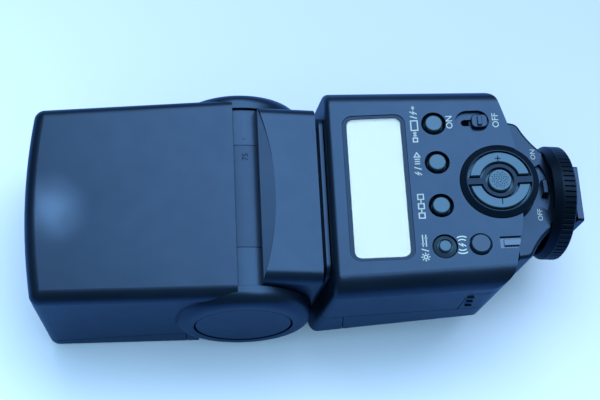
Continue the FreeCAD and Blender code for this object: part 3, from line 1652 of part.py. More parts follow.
def lock_pin_rod(u0, u1, radius):
    return Part.makeCylinder(radius, u1 - u0, Vector(u0, 0, shoe_w + lock_pin_w), side_x)


def foot():
    """Metal accessory shoe foot with its stem."""
    slab = shoe_plate(foot_u0, foot_thick, foot_half_y, foot_half_w, foot_corner_r)
    stem = shoe_rod(base_end_u - base_wall - anchor_length, foot_u0 + 1, stem_radius)
    piece = slab.fuse(stem)
    piece = piece.cut(lock_pin_rod(foot_u0 - 1, foot_u0 + 4, lock_pin_radius + fit))
    bores = [turn_pin(y, w, pin_radius) for y, w in pin_places()]
    return turned(piece.cut(bores[0].multiFuse(bores[1:])).removeSplitter())


def pin_places():
    return [(0, 0), (3.6, 3.4), (-3.6, 3.4), (3.6, -1.4), (-3.6, -1.4)]


def turn_pin(y, w, radius):
    u0 = foot_u0 + 0.4
    return Part.makeCylinder(radius, foot_thick - 0.4 + pin_rise, Vector(u0, y, shoe_w + w), side_x)


def contact_pins():
    pins = []
    for y, w in pin_places():
        pin = turn_pin(y, w, pin_radius)
        end = foot_u0 + foot_thick + pin_rise
        pins.append(turned(rounded(pin, 0.3, lambda p, e: abs(p.x - end) < 0.01)))
    return pins


def lock_pin():
    u0 = wheel_end_u + clamp_gap
    return turned(lock_pin_rod(u0, foot_u0 + foot_thick - 0.1, lock_pin_radius))


# ---------------------------------------------------------------- export
def keys():
    """Round keys of the control panel, by name."""
    names = ("zoom_button", "sync_button", "mode_button", "light_button")
    places = sorted(button_places(), key=lambda place: -place[1])
    made = {}
    for name, (x, y) in zip(names, places):
        made[name] = round_key(x, y, button_radius, button_rise, button_round)
    x, y = places[-1]
    made["light_button"] = ringed_key(x, y)
    made["test_button"] = round_key(lamp_x, lamp_y, lamp_radius - 0.1, lamp_rise, lamp_rise * 0.8)
    return made


def nodes():
    made = {
        "head_top_cover": head_top_cover(),
        "head_bottom_cover": head_bottom_cover(),
        "head_screws": head_screws(),
        "front_lens": front_lens(),
        "panel_tray": diffuser_tray(),
        "wide_panel": wide_panel(),
        "reflector": reflector(),
        "flash_tube": flash_tube(),
        "tube_boots": tube_boots(),
        "zoom_carriage": zoom_carriage(),
        "zoom_rails": zoom_rails(),
        "zoom_screw": zoom_screw(),
        "zoom_motor": zoom_motor(),
        "trigger_board": trigger_board(),
        "pivot_cap": pivot_cap(),
        "bounce_release_button": bounce_release_button(),
        "neck_rear_cover": neck_rear_cover(),
        "neck_front_cover": neck_front_cover(),
        "neck_screws": neck_screws(),
        "angle_scale": angle_scale(),
        "tilt_shaft": tilt_shaft(),
        "neck_collar": neck_collar(),
        "swivel_tube": swivel_tube(),
        "swivel_retainer": swivel_retainer(),
        "swivel_bush": swivel_bush(),
        "rear_cover": rear_cover(),
        "front_cover": front_cover(),
        "body_screws": body_screws(),
        "af_window": af_window(),
        "af_lamp": af_lamp(),
        "display_frame": display_frame(),
        "display_window": display_window(),
        "display_module": display_module(),
        "main_board": main_board(),
        "main_capacitor": main_capacitor(),
        "key_mat": key_mat(),
        "power_switch": power_switch(),
        "dial_collar": dial_collar(),
        "plus_key": sector_key(1),
        "minus_key": sector_key(-1),
        "select_key": select_key(),
        "slave_switch": slave_switch(),
        "light_pipe": light_pipe(),
        "battery_box": battery_box(),
        "battery_cells": battery_cells(),
        "battery_plates": battery_plates(),
        "battery_door": battery_door(),
        "door_contacts": door_contacts(),
        "door_hinge_pin": door_hinge_pin(),
        "shoe_base": shoe_base(),
        "lock_wheel": lock_wheel(),
        "clamp_plate": clamp_plate(),
        "foot": foot(),
        "contact_pins": contact_pins(),
        "lock_pin": lock_pin(),
    }
    made.update(keys())
    return made


def main():
    os.makedirs("parts", exist_ok=True)
    made = {}
    for name, shape in nodes().items():
        made[name] = Part.makeCompound(shape) if isinstance(shape, list) else shape
    whole = Part.makeCompound(list(made.values())).BoundBox
    centre = Vector(-(whole.XMin + whole.XMax) / 2.0, -(whole.YMin + whole.YMax) / 2.0, -whole.ZMin)
    print("moved by", centre)
    for name, shape in made.items():
        shape.translate(centre)
        shape.exportStep("parts/" + name + ".step")
        valid = shape.isValid()
        print(name, len(shape.Solids), round(shape.Volume, 1), valid)


main()
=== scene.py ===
import json
import math

import bmesh
import bpy
from mathutils import Euler, Matrix, Vector


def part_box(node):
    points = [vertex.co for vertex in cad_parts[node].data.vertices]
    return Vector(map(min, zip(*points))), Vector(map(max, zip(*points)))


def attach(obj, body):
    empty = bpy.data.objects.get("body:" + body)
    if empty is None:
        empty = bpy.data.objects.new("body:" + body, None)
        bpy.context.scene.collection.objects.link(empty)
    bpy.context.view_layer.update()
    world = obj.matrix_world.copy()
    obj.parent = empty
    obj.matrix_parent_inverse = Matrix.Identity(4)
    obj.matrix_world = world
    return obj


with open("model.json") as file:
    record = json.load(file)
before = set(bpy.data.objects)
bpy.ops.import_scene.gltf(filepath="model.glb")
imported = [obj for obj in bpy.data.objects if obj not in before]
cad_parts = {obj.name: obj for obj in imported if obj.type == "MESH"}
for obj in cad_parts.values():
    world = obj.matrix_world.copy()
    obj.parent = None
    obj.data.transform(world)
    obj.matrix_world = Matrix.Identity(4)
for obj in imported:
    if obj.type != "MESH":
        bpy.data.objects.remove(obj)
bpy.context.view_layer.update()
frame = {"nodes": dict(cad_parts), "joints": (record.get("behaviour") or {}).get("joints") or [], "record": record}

# A speedlight flash lying on its front. The frame holds every solid; this script gives
# the surfaces their finish, adds printing and small relief, and sets up the picture.
# Lengths are in metres, in the frame's axes: +X to the foot, +Z out of the panel.

MM = 0.001
nodes = frame["nodes"]
joints = {joint["name"]: joint for joint in frame["joints"]}


# ---------------------------------------------------------------- places
def node_box(name):
    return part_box(name)


def node_middle(name):
    low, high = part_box(name)
    return (low + high) / 2.0


TILT_AXIS = Vector(joints["tilt"]["pos_m"])
SHOE_DIRECTION = Vector(joints["lock_turn"]["axis"]).normalized()
SHOE_POINT = Vector(joints["lock_turn"]["pos_m"])
DIAL_AXIS = Vector(joints["slave_turn"]["pos_m"])
PANEL_Z = node_box("rear_cover")[1].z
DRUM_RADIUS = 20.3 * MM    # face of the bounce scale from the tilt axis
BASE_HALF = 10.6 * MM      # sloping top of the shoe base from its axis
FLANGE_DEPTH = 2.0 * MM    # key flanges below the panel
PRINT_HEIGHT = 0.03 * MM


# ---------------------------------------------------------------- materials
def blank_material(name):
    material = bpy.data.materials.new(name)
    material.use_nodes = True
    tree = material.node_tree
    tree.nodes.clear()
    output = tree.nodes.new("ShaderNodeOutputMaterial")
    shader = tree.nodes.new("ShaderNodeBsdfPrincipled")
    tree.links.new(shader.outputs["BSDF"], output.inputs["Surface"])
    return material, tree, shader


def object_space(tree):
    return tree.nodes.new("ShaderNodeTexCoord").outputs["Object"]


def noise(tree, scale, detail=3.0, roughness=0.55):
    node = tree.nodes.new("ShaderNodeTexNoise")
    node.inputs["Scale"].default_value = scale
    node.inputs["Detail"].default_value = detail
    node.inputs["Roughness"].default_value = roughness
    tree.links.new(object_space(tree), node.inputs["Vector"])
    return node.outputs["Fac"]


def cells(tree, scale):
    node = tree.nodes.new("ShaderNodeTexVoronoi")
    node.inputs["Scale"].default_value = scale
    tree.links.new(object_space(tree), node.inputs["Vector"])
    return node.outputs["Distance"]


def spread(tree, factor, low, high):
    """Maps a 0 to 1 pattern to a range of values."""
    node = tree.nodes.new("ShaderNodeMapRange")
    node.inputs["To Min"].default_value = low
    node.inputs["To Max"].default_value = high
    tree.links.new(factor, node.inputs["Value"])
    return node.outputs["Result"]


def ramp(tree, factor, dark, light, start=0.3, end=0.7):
    node = tree.nodes.new("ShaderNodeValToRGB")
    node.color_ramp.elements[0].position = start
    node.color_ramp.elements[0].color = (*dark, 1.0)
    node.color_ramp.elements[1].position = end
    node.color_ramp.elements[1].color = (*light, 1.0)
    tree.links.new(factor, node.inputs["Fac"])
    return node.outputs["Color"]


def bump(tree, shader, heights):
    """Chains bumps: each height is (pattern, distance in metres, strength)."""
    normal = None
    for pattern, distance, strength in heights:
        node = tree.nodes.new("ShaderNodeBump")
        node.inputs["Distance"].default_value = distance
        node.inputs["Strength"].default_value = strength
        tree.links.new(pattern, node.inputs["Height"])
        if normal is not None:
            tree.links.new(normal, node.inputs["Normal"])
        normal = node.outputs["Normal"]
    tree.links.new(normal, shader.inputs["Normal"])


COLD = (0.28, 0.55, 0.95)     # blue tint of the dark plastics' reflections: painted colour that stands in for the blue cast of the light


def moulded(name, colour, rough, grain=0.35 * MM, sheen=COLD, level=0.65):
    """Spark-eroded plastic: fine grain, faint flow mottling and rubbed places."""
    depth = 0.012 * MM
    material, tree, shader = blank_material(name)
    flow = noise(tree, 38.0, 4.0)
    dark = tuple(0.8 * part for part in colour)
    light = tuple(1.2 * part for part in colour)
    tree.links.new(ramp(tree, flow, dark, light), shader.inputs["Base Color"])
    rub = noise(tree, 160.0, 5.0, 0.6)
    tree.links.new(spread(tree, rub, rough - 0.05, rough + 0.05), shader.inputs["Roughness"])
    shader.inputs["Specular IOR Level"].default_value = level
    shader.inputs["Specular Tint"].default_value = (*sheen, 1.0)
    bump(tree, shader, [(cells(tree, 1.0 / grain), depth, 0.5),
                        (noise(tree, 900.0, 2.0), depth, 0.35)])
    return material


def glossy(name, colour, rough, coat=0.0, sheen=COLD, level=0.6):
    """Polished or lacquered plastic with faint handling marks."""
    material, tree, shader = blank_material(name)
    marks = noise(tree, 220.0, 6.0, 0.65)
    dark = tuple(0.85 * part for part in colour)
    tree.links.new(ramp(tree, marks, dark, colour), shader.inputs["Base Color"])
    tree.links.new(spread(tree, marks, max(rough - 0.04, 0.02), rough + 0.05),
                   shader.inputs["Roughness"])
    shader.inputs["Specular IOR Level"].default_value = level
    shader.inputs["Specular Tint"].default_value = (*sheen, 1.0)
    shader.inputs["Coat Weight"].default_value = coat
    bump(tree, shader, [(noise(tree, 420.0, 2.0), 0.004 * MM, 0.3)])
    return material


def clear(name, colour, rough, ior=1.49):
    """Clear plastic or glass with slightly uneven surface."""
    material, tree, shader = blank_material(name)
    veil = noise(tree, 300.0)
    light = tuple(min(1.0, 1.03 * part) for part in colour)
    tree.links.new(ramp(tree, veil, colour, light), shader.inputs["Base Color"])
    tree.links.new(spread(tree, veil, rough, rough + 0.05), shader.inputs["Roughness"])
    shader.inputs["IOR"].default_value = ior
    shader.inputs["Transmission Weight"].default_value = 0.92
    bump(tree, shader, [(noise(tree, 260.0, 2.0), 0.004 * MM, 0.3)])
    return material


def metal(name, colour, rough, brushed=(1.0, 1.0, 1.0)):
    """Turned or rolled metal: streaks along the directions with a small factor."""
    material, tree, shader = blank_material(name)
    mapping = tree.nodes.new("ShaderNodeMapping")
    mapping.inputs["Scale"].default_value = brushed
    tree.links.new(object_space(tree), mapping.inputs["Vector"])
    streak = tree.nodes.new("ShaderNodeTexNoise")
    streak.inputs["Scale"].default_value = 1500.0
    streak.inputs["Detail"].default_value = 4.0
    tree.links.new(mapping.outputs["Vector"], streak.inputs["Vector"])
    dark = tuple(0.75 * part for part in colour)
    tree.links.new(ramp(tree, streak.outputs["Fac"], dark, colour), shader.inputs["Base Color"])
    tree.links.new(spread(tree, streak.outputs["Fac"], rough - 0.06, rough + 0.1),
                   shader.inputs["Roughness"])
    shader.inputs["Metallic"].default_value = 1.0
    bump(tree, shader, [(streak.outputs["Fac"], 0.006 * MM, 0.4)])
    return material


def board_material(name):
    """Solder mask over faint tracks."""
    material, tree, shader = blank_material(name)
    brick = tree.nodes.new("ShaderNodeTexBrick")
    brick.inputs["Scale"].default_value = 260.0
    brick.inputs["Mortar Size"].default_value = 0.06
    brick.inputs["Color1"].default_value = (0.006, 0.03, 0.016, 1.0)
    brick.inputs["Color2"].default_value = (0.008, 0.038, 0.02, 1.0)
    brick.inputs["Mortar"].default_value = (0.02, 0.07, 0.04, 1.0)
    tree.links.new(object_space(tree), brick.inputs["Vector"])
    tree.links.new(brick.outputs["Color"], shader.inputs["Base Color"])
    tree.links.new(spread(tree, noise(tree, 300.0), 0.25, 0.4), shader.inputs["Roughness"])
    bump(tree, shader, [(brick.outputs["Fac"], 0.02 * MM, 0.5)])
    return material


def display_material(name):
    """Pale display layer with a faint dot structure; its glow is painted light that stands in for the light the
    display reflects.
    """
    material, tree, shader = blank_material(name)
    dots = cells(tree, 2600.0)
    tree.links.new(ramp(tree, dots, (0.10, 0.13, 0.13), (0.12, 0.15, 0.15), 0.1, 0.6),
                   shader.inputs["Base Color"])
    shader.inputs["Roughness"].default_value = 0.4
    # painted glow: pale blue emission in place of the light the display reflects
    tree.links.new(ramp(tree, noise(tree, 45.0), (0.50, 0.83, 0.95), (0.56, 0.88, 1.0)),
                   shader.inputs["Emission Color"])
    shader.inputs["Emission Strength"].default_value = 0.36
    bump(tree, shader, [(dots, 0.004 * MM, 0.2)])
    return material


SHELL = moulded("shell_black", (0.003, 0.006, 0.012), 0.36)
DISC = moulded("disc_black", (0.004, 0.007, 0.014), 0.36)
# the blue sheen tints of the keys and of the light pipe below are also painted colour for the blue cast of the
# light
KEY = moulded("key_grey", (0.010, 0.020, 0.030), 0.34, grain=0.25 * MM, sheen=(0.27, 0.54, 0.78),
              level=1.0)
WHEEL = moulded("wheel_black", (0.001, 0.002, 0.004), 0.42, level=0.24)
FRAME = glossy("frame_black", (0.002, 0.003, 0.006), 0.25, level=0.35)
TEST = glossy("test_clear", (0.004, 0.009, 0.016), 0.16, coat=0.1, level=0.45)
LENS = clear("lens_clear", (0.93, 0.97, 1.0), 0.05)
WINDOW = glossy("window_red", (0.09, 0.004, 0.01), 0.08, coat=0.7, sheen=(1.0, 0.85, 0.85))
LAMP = glossy("lamp_clear", (0.01, 0.025, 0.05), 0.14, coat=0.2, sheen=(0.4, 0.7, 1.0))
GLASS = clear("display_clear", (0.93, 0.99, 1.0), 0.04)
DISPLAY_PAINTED_GLOW = display_material("display_grey")
FOOT = metal("foot_metal", (0.03, 0.05, 0.085), 0.36, (0.12, 1.0, 1.0))
PIN = metal("pin_brass", (0.75, 0.56, 0.24), 0.25)
STEEL = metal("steel", (0.5, 0.52, 0.55), 0.3, (0.15, 1.0, 1.0))
REFLECTOR = metal("reflector_metal", (0.88, 0.9, 0.92), 0.12, (1.0, 0.1, 1.0))
TUBE = clear("tube_glass", (0.92, 0.96, 1.0), 0.03, 1.5)
RUBBER = moulded("boot_rubber", (0.5, 0.52, 0.52), 0.6, sheen=(1.0, 1.0, 1.0), level=0.3)
INNER = moulded("inner_plastic", (0.02, 0.022, 0.026), 0.5)
BOARD = board_material("board_green")
SLEEVE = glossy("capacitor_sleeve", (0.01, 0.011, 0.014), 0.2)
CELL = glossy("cell_wrap", (0.03, 0.045, 0.07), 0.25, coat=0.3)
PRINT = moulded("print_white", (0.29, 0.32, 0.31), 0.55, sheen=(1.0, 1.0, 1.0), level=0.2)
ENGRAVED = moulded("engraved_dark", (0.002, 0.003, 0.006), 0.6, level=0.2)
# near-black rings of painted shade for the gaps round the keys
GAP_SHADE = moulded("gap_shade_black", (0.001, 0.001, 0.002), 0.7, level=0.08)
SCALE = moulded("scale_black", (0.003, 0.005, 0.010), 0.38, level=0.6)
COLLAR = moulded("collar_black", (0.001, 0.003, 0.006), 0.36, level=0.3)

BY_SLOT = {
    "shell_black": SHELL, "disc_black": DISC, "key_grey": KEY, "wheel_black": WHEEL,
    "frame_black": FRAME, "test_clear": TEST, "lens_clear": LENS, "window_red": WINDOW,
    "lamp_clear": LAMP, "display_clear": GLASS, "display_grey": DISPLAY_PAINTED_GLOW, "foot_metal": FOOT,
    "pin_brass": PIN, "steel": STEEL, "reflector_metal": REFLECTOR, "tube_glass": TUBE,
    "boot_rubber": RUBBER, "inner_plastic": INNER, "board_green": BOARD,
    "capacitor_sleeve": SLEEVE, "cell_wrap": CELL,
}
BY_NODE = {"angle_scale": SCALE, "dial_collar": COLLAR, "power_switch": SHELL, "key_mat": INNER}


def dress_nodes():
    for part in frame["record"]["subparts"]:
        mesh = nodes[part["node"]].data
        mesh.materials.clear()
        plain = BY_SLOT[part["material_slot"]]
        mesh.materials.append(BY_NODE.get(part["node"], plain))


# ---------------------------------------------------------------- small pieces
def finish_piece(name, mesh, material, body, place=None):
    piece = bpy.data.objects.new(name, mesh)
    bpy.context.scene.collection.objects.link(piece)
    if place is not None:
        mesh.transform(place)
    mesh.materials.append(material)
    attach(piece, body)
    return piece


def ribbons(strokes, width, height):
    """Raised flat strokes on the XY plane: each stroke is a list of (x, y) points."""
    shape = bmesh.new()
    for stroke in strokes:
        closed = stroke[0] == stroke[-1]
        count = len(stroke) - 1 if closed else len(stroke)
        rows = []
        for index in range(count):
            here = Vector(stroke[index])
            before = Vector(stroke[(index - 1) % count] if closed else stroke[max(index - 1, 0)])
            after = Vector(stroke[(index + 1) % count] if closed
                           else stroke[min(index + 1, count - 1)])
            into = (here - before).normalized() if here != before else (after - here).normalized()
            out = (after - here).normalized() if here != after else into
            side = Vector((-(into + out).y, (into + out).x)).normalized()
            square = Vector((-into.y, into.x))
            reach = width / 2.0 / max(side.dot(square), 0.5)
            left = here + side * reach
            right = here - side * reach
            rows.append([shape.verts.new((*left, 0.0)), shape.verts.new((*right, 0.0)),
                         shape.verts.new((*right, height)), shape.verts.new((*left, height))])
        pairs = list(zip(rows, rows[1:]))
        if closed:
            pairs.append((rows[-1], rows[0]))
        for first, second in pairs:
            for index in range(4):
                after = (index + 1) % 4
                shape.faces.new((first[index], first[after], second[after], second[index]))
        if not closed:
            shape.faces.new(rows[0][::-1])
            shape.faces.new(rows[-1])
    bmesh.ops.recalc_face_normals(shape, faces=shape.faces)
    mesh = bpy.data.meshes.new("strokes")
    shape.to_mesh(mesh)
    shape.free()
    return mesh


def arc(x, y, radius, start, end, steps=24):
    """Points round a circle, angles in degrees."""
    points = []
    for index in range(steps + 1):
        turn = math.radians(start + (end - start) * index / steps)
        points.append((x + radius * math.cos(turn), y + radius * math.sin(turn)))
    return points


def ring(x, y, radius, steps=28):
    points = arc(x, y, radius, 0.0, 360.0, steps)
    return points[:-1] + [points[0]]


def letters(text, size, height):
    """Text as a mesh, centred on its own middle."""
    curve = bpy.data.curves.new("letters", "FONT")
    curve.body = text
    curve.size = size
    curve.align_x = "CENTER"
    curve.align_y = "CENTER"
    curve.extrude = height / 2.0
    curve.resolution_u = 3
    holder = bpy.data.objects.new("letters", curve)
    bpy.context.scene.collection.objects.link(holder)
    bpy.context.view_layer.update()
    graph = bpy.context.evaluated_depsgraph_get()
    mesh = bpy.data.meshes.new_from_object(holder.evaluated_get(graph))
    bpy.data.objects.remove(holder)
    bpy.data.curves.remove(curve)
    mesh.materials.clear()
    return mesh


def on_panel(x, y, z=None):
    """Place for a mark on the control panel: it reads along +Y, with its top to -X."""
    turn = Matrix.Rotation(math.radians(90.0), 4, "Z")
    return Matrix.Translation((x, y, PANEL_Z if z is None else z)) @ turn


ICON = 1.1 * MM       # half the height of a pictogram
LINE = 0.36 * MM       # its line width


def frame_strokes(x, half_x, half_y):
    return [(x - half_x, -half_y), (x + half_x, -half_y), (x + half_x, half_y),
            (x - half_x, half_y), (x - half_x, -half_y)]


def bolt_stroke(x):
    s = ICON
    return [(x + 0.45 * s, s), (x - 0.4 * s, -0.1 * s), (x + 0.4 * s, 0.12 * s),
            (x - 0.45 * s, -s)]


def slash_stroke(x):
    return [(x - 0.35 * ICON, -ICON), (x + 0.35 * ICON, ICON)]


def icon_zoom():
    """Small frame, arrows and wide frame, then a bolt."""
    s = ICON
    narrow = frame_strokes(-4.9 * s, 0.6 * s, 0.6 * s)
    wide = frame_strokes(-0.4 * s, 1.5 * s, 0.95 * s)
    shaft = [(-3.9 * s, 0.0), (-2.4 * s, 0.0)]
    tips = [[(-3.4 * s, 0.45 * s), (-3.9 * s, 0.0), (-3.4 * s, -0.45 * s)],
            [(-2.9 * s, 0.45 * s), (-2.4 * s, 0.0), (-2.9 * s, -0.45 * s)]]
    return [narrow, wide, shaft] + tips + [slash_stroke(2.2 * s), bolt_stroke(3.6 * s),
                                           [(4.5 * s, 0.0), (5.6 * s, 0.0)],
                                           [(5.1 * s, 0.4 * s), (5.6 * s, 0.0),
                                            (5.1 * s, -0.4 * s)]]


def icon_sync():
    """A bolt, then a run of bars with an arrow head."""
    s = ICON
    bars = [[(x * s, -0.75 * s), (x * s, 0.75 * s)] for x in (-0.2, 0.5, 1.2)]
    head = [(1.9 * s, 0.8 * s), (3.2 * s, 0.0), (1.9 * s, -0.8 * s), (1.9 * s, 0.8 * s)]
    return [bolt_stroke(-3.2 * s), slash_stroke(-1.6 * s)] + bars + [head]


def icon_mode():
    """Three linked boxes."""
    s = ICON
    boxes = [frame_strokes(x * s, 0.75 * s, 0.8 * s) for x in (-2.8, 0.0, 2.8)]
    return boxes + [[(-2.05 * s, 0.0), (-0.75 * s, 0.0)], [(0.75 * s, 0.0), (2.05 * s, 0.0)]]


def icon_light():
    """A lamp with rays, then two sliders."""
    s = ICON
    lamp_x = -2.9 * s
    strokes = [ring(lamp_x, 0.0, 0.5 * s)]
    for index in range(8):
        turn = math.radians(45.0 * index)
        strokes.append([(lamp_x + 0.8 * s * math.cos(turn), 0.8 * s * math.sin(turn)),
                        (lamp_x + 1.25 * s * math.cos(turn), 1.25 * s * math.sin(turn))])
    strokes.append(slash_stroke(-0.9 * s))
    for y, knob in ((0.45, 0.9), (-0.45, 2.6)):
        strokes.append([(0.1 * s, y * s), (3.6 * s, y * s)])
        strokes.append([(knob * s, (y - 0.4) * s), (knob * s, (y + 0.4) * s)])
    return strokes


def icon_test():
    """A bolt between two arcs."""
    s = ICON
    return [bolt_stroke(0.0), arc(0.0, 0.0, 1.6 * s, -40.0, 40.0, 10),
            arc(0.0, 0.0, 1.6 * s, 140.0, 220.0, 10), arc(0.0, 0.0, 2.5 * s, -32.0, 32.0, 10),
            arc(0.0, 0.0, 2.5 * s, 148.0, 212.0, 10)]


def panel_printing():
    """Pictograms beside the keys and the two words at the power switch."""
    icon_offset = 6.1 * MM
    test_offset = 5.6 * MM
    word_size = 2.9 * MM
    words = (("ON", -7.1 * MM), ("OFF", 7.4 * MM))    # from the middle of the slot, along X
    icons = {"zoom_button": icon_zoom, "sync_button": icon_sync, "mode_button": icon_mode,
             "light_button": icon_light}
    for button, icon in icons.items():
        middle = node_middle(button)
        finish_piece("print_" + button, ribbons(icon(), LINE, PRINT_HEIGHT), PRINT, "body",
                     on_panel(middle.x - icon_offset, middle.y))
    test = node_middle("test_button")
    finish_piece("print_test_button", ribbons(icon_test(), LINE, PRINT_HEIGHT), PRINT, "body",
                 on_panel(test.x - test_offset, test.y))
    switch = node_middle("power_switch")
    travel = joints["power_slide"]["range_m"][1]
    slot_middle = switch.x - travel / 2.0
    for word, offset in words:
        finish_piece("print_switch_" + word.lower(), letters(word, word_size, PRINT_HEIGHT), PRINT,
                     "body", on_panel(slot_middle + offset, switch.y))


def key_wells():
    """Near-black rings on the key flanges: painted shade in the gaps round the round keys."""
    height = 0.2 * MM
    lift = 0.1 * MM
    radii = {"zoom": (2.9, 3.8), "sync": (2.9, 3.8), "mode": (2.9, 3.8), "light": (3.55, 3.85)}
    for key, (inner, outer) in radii.items():
        middle = node_middle(key + "_button")
        shade_ring = ribbons([ring(0.0, 0.0, (inner + outer) / 2.0 * MM, 40)], (outer - inner) * MM,
                       height)
        finish_piece("gap_shade_ring_" + key, shade_ring, GAP_SHADE, key + "_key",
                     Matrix.Translation((middle.x, middle.y, PANEL_Z - FLANGE_DEPTH + lift)))


def dial_marks():
    """Plus and minus on the crescents and a stippled centre key."""
    top = node_box("plus_key")[1].z
    plus = node_middle("plus_key")
    minus = node_middle("minus_key")
    arm = 0.9 * MM
    line = 0.3 * MM
    outward = 1.71 * MM    # marks past the middle of the crescents
    cross = [[(-arm, 0.0), (arm, 0.0)], [(0.0, -arm), (0.0, arm)]]
    finish_piece("mark_plus", ribbons(cross, line, PRINT_HEIGHT), ENGRAVED, "plus",
                 on_panel(DIAL_AXIS.x, plus.y + outward, top))
    dash = [[(-arm, 0.0), (arm, 0.0)]]
    finish_piece("mark_minus", ribbons(dash, line, PRINT_HEIGHT), ENGRAVED, "minus",
                 on_panel(DIAL_AXIS.x, minus.y - outward, top))
    select = node_middle("select_key")
    select_top = node_box("select_key")[1].z
    shape = bmesh.new()
    count = 46
    field = 2.7 * MM
    dot = 0.17 * MM
    golden_turn = math.radians(137.5)
    for index in range(count):
        radius = field * math.sqrt((index + 0.5) / count)
        turn = index * golden_turn
        place = Matrix.Translation((radius * math.cos(turn), radius * math.sin(turn), 0.0))
        bmesh.ops.create_uvsphere(shape, u_segments=8, v_segments=5, radius=dot,
                                  matrix=place @ Matrix.Diagonal((1.0, 1.0, 0.6, 1.0)))
    mesh = bpy.data.meshes.new("stipple")
    shape.to_mesh(mesh)
    shape.free()
    finish_piece("select_stipple", mesh, ENGRAVED, "select",
                 Matrix.Translation((select.x, select.y, select_top)))


def drum_place(angle, y, lift=0.0):
    """Place on the drum's face, angle in degrees from straight down the neck, over the top."""
    turn = math.radians(angle)
    normal = Vector((math.cos(turn), 0.0, math.sin(turn)))
    spot = TILT_AXIS + normal * (DRUM_RADIUS + lift)
    up = Vector((-math.sin(turn), 0.0, math.cos(turn)))
    axes = Matrix((Vector((0.0, 1.0, 0.0)), up, normal)).transposed().to_4x4()
    return Matrix.Translation((spot.x, y, spot.z)) @ axes


def drum_scale():
    """Stop angles on the drum, uncovered one after another as the head tips forward."""
    rest_stop = 75
    lead = 8.0             # degrees from the number to the top of the drum
    number_size = 2.6 * MM
    number_y = 13.0 * MM
    bar_y = 23.4 * MM
    bar_half = 4.3 * MM
    bar_width = 1.1 * MM
    bar_height = 0.15 * MM
    bar_sink = 0.02 * MM
    for stop in (0, 45, 60, 75):
        angle = 90.0 + (rest_stop - stop) - lead
        mesh = letters(str(stop), number_size, PRINT_HEIGHT)
        finish_piece("drum_number_" + str(stop), mesh, ENGRAVED, "neck",
                     drum_place(angle, number_y))
        bar = ribbons([[(-bar_half, 0.0), (bar_half, 0.0)]], bar_width, bar_height)
        finish_piece("drum_bar_" + str(stop), bar, DISC, "neck",
                     drum_place(angle + 1.0, bar_y, -bar_sink))


def base_top_place(x, y, lift=0.0):
    """Place on the sloping top of the shoe base."""
    normal = Vector((-SHOE_DIRECTION.z, 0.0, SHOE_DIRECTION.x))
    start = SHOE_POINT + normal * BASE_HALF
    share = (x - start.x) / SHOE_DIRECTION.x
    spot = start + SHOE_DIRECTION * share + normal * lift
    up = -SHOE_DIRECTION
    side = Vector((0.0, 1.0, 0.0))
    axes = Matrix((side, up, normal)).transposed().to_4x4()
    return Matrix.Translation((spot.x, y, spot.z)) @ axes


def slave_printing():
    """The two words at the ends of the slave selector's slot."""
    word_size = 2.3 * MM
    forward = 12.9 * MM    # from the dial's axis
    for word, y in (("OFF", -8.6 * MM), ("ON", 12.0 * MM)):
        finish_piece("print_slave_" + word.lower(), letters(word, word_size, PRINT_HEIGHT), PRINT,
                     "body",
                     base_top_place(DIAL_AXIS.x + forward, y, PRINT_HEIGHT / 2.0))


# ---------------------------------------------------------------- picture
def add_floor():
    """Pale paper with painted light: its colour is raised towards the near left, where the softbox's light falls
    off. Every ray but the camera's sees a deeper blue, a painted reflection colour.
    """
    pale_low = (0.42, 0.435, 0.50)
    pale_high = (0.44, 0.455, 0.52)
    deep_blue = (0.13, 0.24, 0.46)
    # painted light: the paper's colour is scaled up towards the near left, where the softbox's light falls off
    painted_light_toward = (-1.27, -2.43, 0.0)
    bpy.ops.mesh.primitive_plane_add(size=6.0, location=(0.0, 0.0, 0.0))
    floor = bpy.context.object
    floor.name = "floor"
    material, tree, shader = blank_material("floor_paper")
    tint = ramp(tree, noise(tree, 3.0, 2.0), pale_low, pale_high)
    painted_light_slope = tree.nodes.new("ShaderNodeVectorMath")
    painted_light_slope.operation = "DOT_PRODUCT"
    painted_light_slope.inputs[1].default_value = painted_light_toward
    tree.links.new(object_space(tree), painted_light_slope.inputs[0])
    share = tree.nodes.new("ShaderNodeMapRange")
    share.interpolation_type = "SMOOTHSTEP"
    for socket, value in (("From Min", -0.5), ("From Max", 0.5), ("To Min", 0.74),
                          ("To Max", 1.44)):
        share.inputs[socket].default_value = value
    tree.links.new(painted_light_slope.outputs["Value"], share.inputs["Value"])
    scale = tree.nodes.new("ShaderNodeVectorMath")
    scale.operation = "SCALE"
    tree.links.new(tint, scale.inputs[0])
    tree.links.new(share.outputs["Result"], scale.inputs["Scale"])
    tree.links.new(scale.outputs["Vector"], shader.inputs["Base Color"])
    shader.inputs["Roughness"].default_value = 0.9
    shader.inputs["Specular IOR Level"].default_value = 0.1
    # painted reflection: every ray but the camera's sees this deeper blue, in the flash's reflections and in
    # bounce light
    deep = tree.nodes.new("ShaderNodeBsdfDiffuse")
    deep.inputs["Color"].default_value = (*deep_blue, 1.0)
    rays = tree.nodes.new("ShaderNodeLightPath")
    mix = tree.nodes.new("ShaderNodeMixShader")
    tree.links.new(rays.outputs["Is Camera Ray"], mix.inputs[0])
    tree.links.new(deep.outputs["BSDF"], mix.inputs[1])
    tree.links.new(shader.outputs["BSDF"], mix.inputs[2])
    tree.links.new(mix.outputs["Shader"], tree.nodes["Material Output"].inputs["Surface"])
    floor.data.materials.append(material)


def add_lamp(name, kind, place, target, power, colour):
    """A lamp of one of Blender's kinds, aimed at a target."""
    lamp = bpy.data.lights.new(name, kind)
    lamp.energy = power
    lamp.color = colour
    holder = bpy.data.objects.new(name, lamp)
    bpy.context.scene.collection.objects.link(holder)
    holder.location = place
    aim = Vector(target) - Vector(place)
    holder.rotation_euler = aim.to_track_quat("-Z", "Y").to_euler()
    return lamp


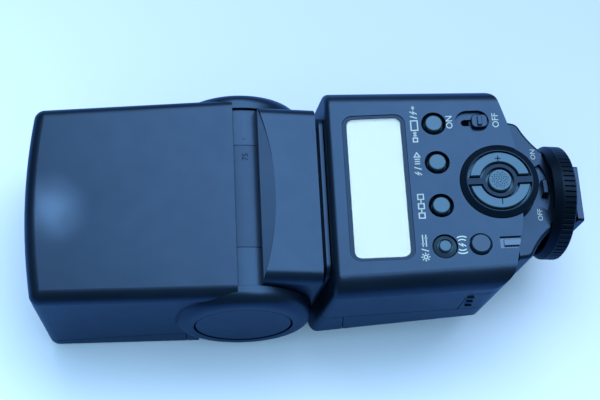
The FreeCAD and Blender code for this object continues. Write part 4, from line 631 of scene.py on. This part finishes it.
def add_world():
    """Even sky light that mirrors dark, like a room behind the camera."""
    world = bpy.data.worlds.new("surround")
    world.use_nodes = True
    tree = world.node_tree
    tree.nodes.clear()
    output = tree.nodes.new("ShaderNodeOutputWorld")
    mix = tree.nodes.new("ShaderNodeMixShader")
    rays = tree.nodes.new("ShaderNodeLightPath")
    shades = []
    for colour, strength in (((0.44, 0.76, 1.0), 1.80), ((0.25, 0.5, 1.0), 0.04)):
        shade = tree.nodes.new("ShaderNodeBackground")
        shade.inputs["Color"].default_value = (*colour, 1.0)
        shade.inputs["Strength"].default_value = strength
        shades.append(shade)
    tree.links.new(rays.outputs["Is Glossy Ray"], mix.inputs[0])
    tree.links.new(shades[0].outputs["Background"], mix.inputs[1])
    tree.links.new(shades[1].outputs["Background"], mix.inputs[2])
    tree.links.new(mix.outputs["Shader"], output.inputs["Surface"])
    bpy.context.scene.world = world


def add_camera():
    camera = bpy.data.cameras.new("camera")
    camera.lens = 80.8
    camera.sensor_width = 36.0
    camera.clip_start = 0.01
    holder = bpy.data.objects.new("camera", camera)
    bpy.context.scene.collection.objects.link(holder)
    holder.location = TILT_AXIS + Vector((8.22, -161.82, 401.33)) * MM
    angles = (22.746, -0.477, -2.754)
    holder.rotation_euler = Euler([math.radians(angle) for angle in angles])
    bpy.context.scene.camera = holder


def light_the_set():
    """One large softbox, and a narrow lamp that leaves a soft spot on the head's cover."""
    box = add_lamp("key_box", "AREA", (0.28, 0.50, 1.05), (0.0, 0.0, 0.02), 23.5,
                   (0.62, 0.78, 1.0))
    box.shape = "RECTANGLE"
    box.size, box.size_y = 1.25, 0.85
    front = node_box("head_top_cover")[0].x
    spot = Vector((front + 9.0 * MM, -2.4 * MM, 45.3 * MM))
    toward = Vector((-0.152, 0.385, 0.910)) * 0.9
    small = add_lamp("small_lamp", "SPOT", spot + toward, spot, 12.0, (0.75, 0.87, 1.0))
    small.spot_size = math.radians(1.1)
    small.spot_blend = 1.0
    small.shadow_soft_size = 0.0055


dress_nodes()
panel_printing()
key_wells()
dial_marks()
drum_scale()
slave_printing()
add_floor()
add_world()
light_the_set()
add_camera()
bpy.context.scene.view_settings.view_transform = "Standard"
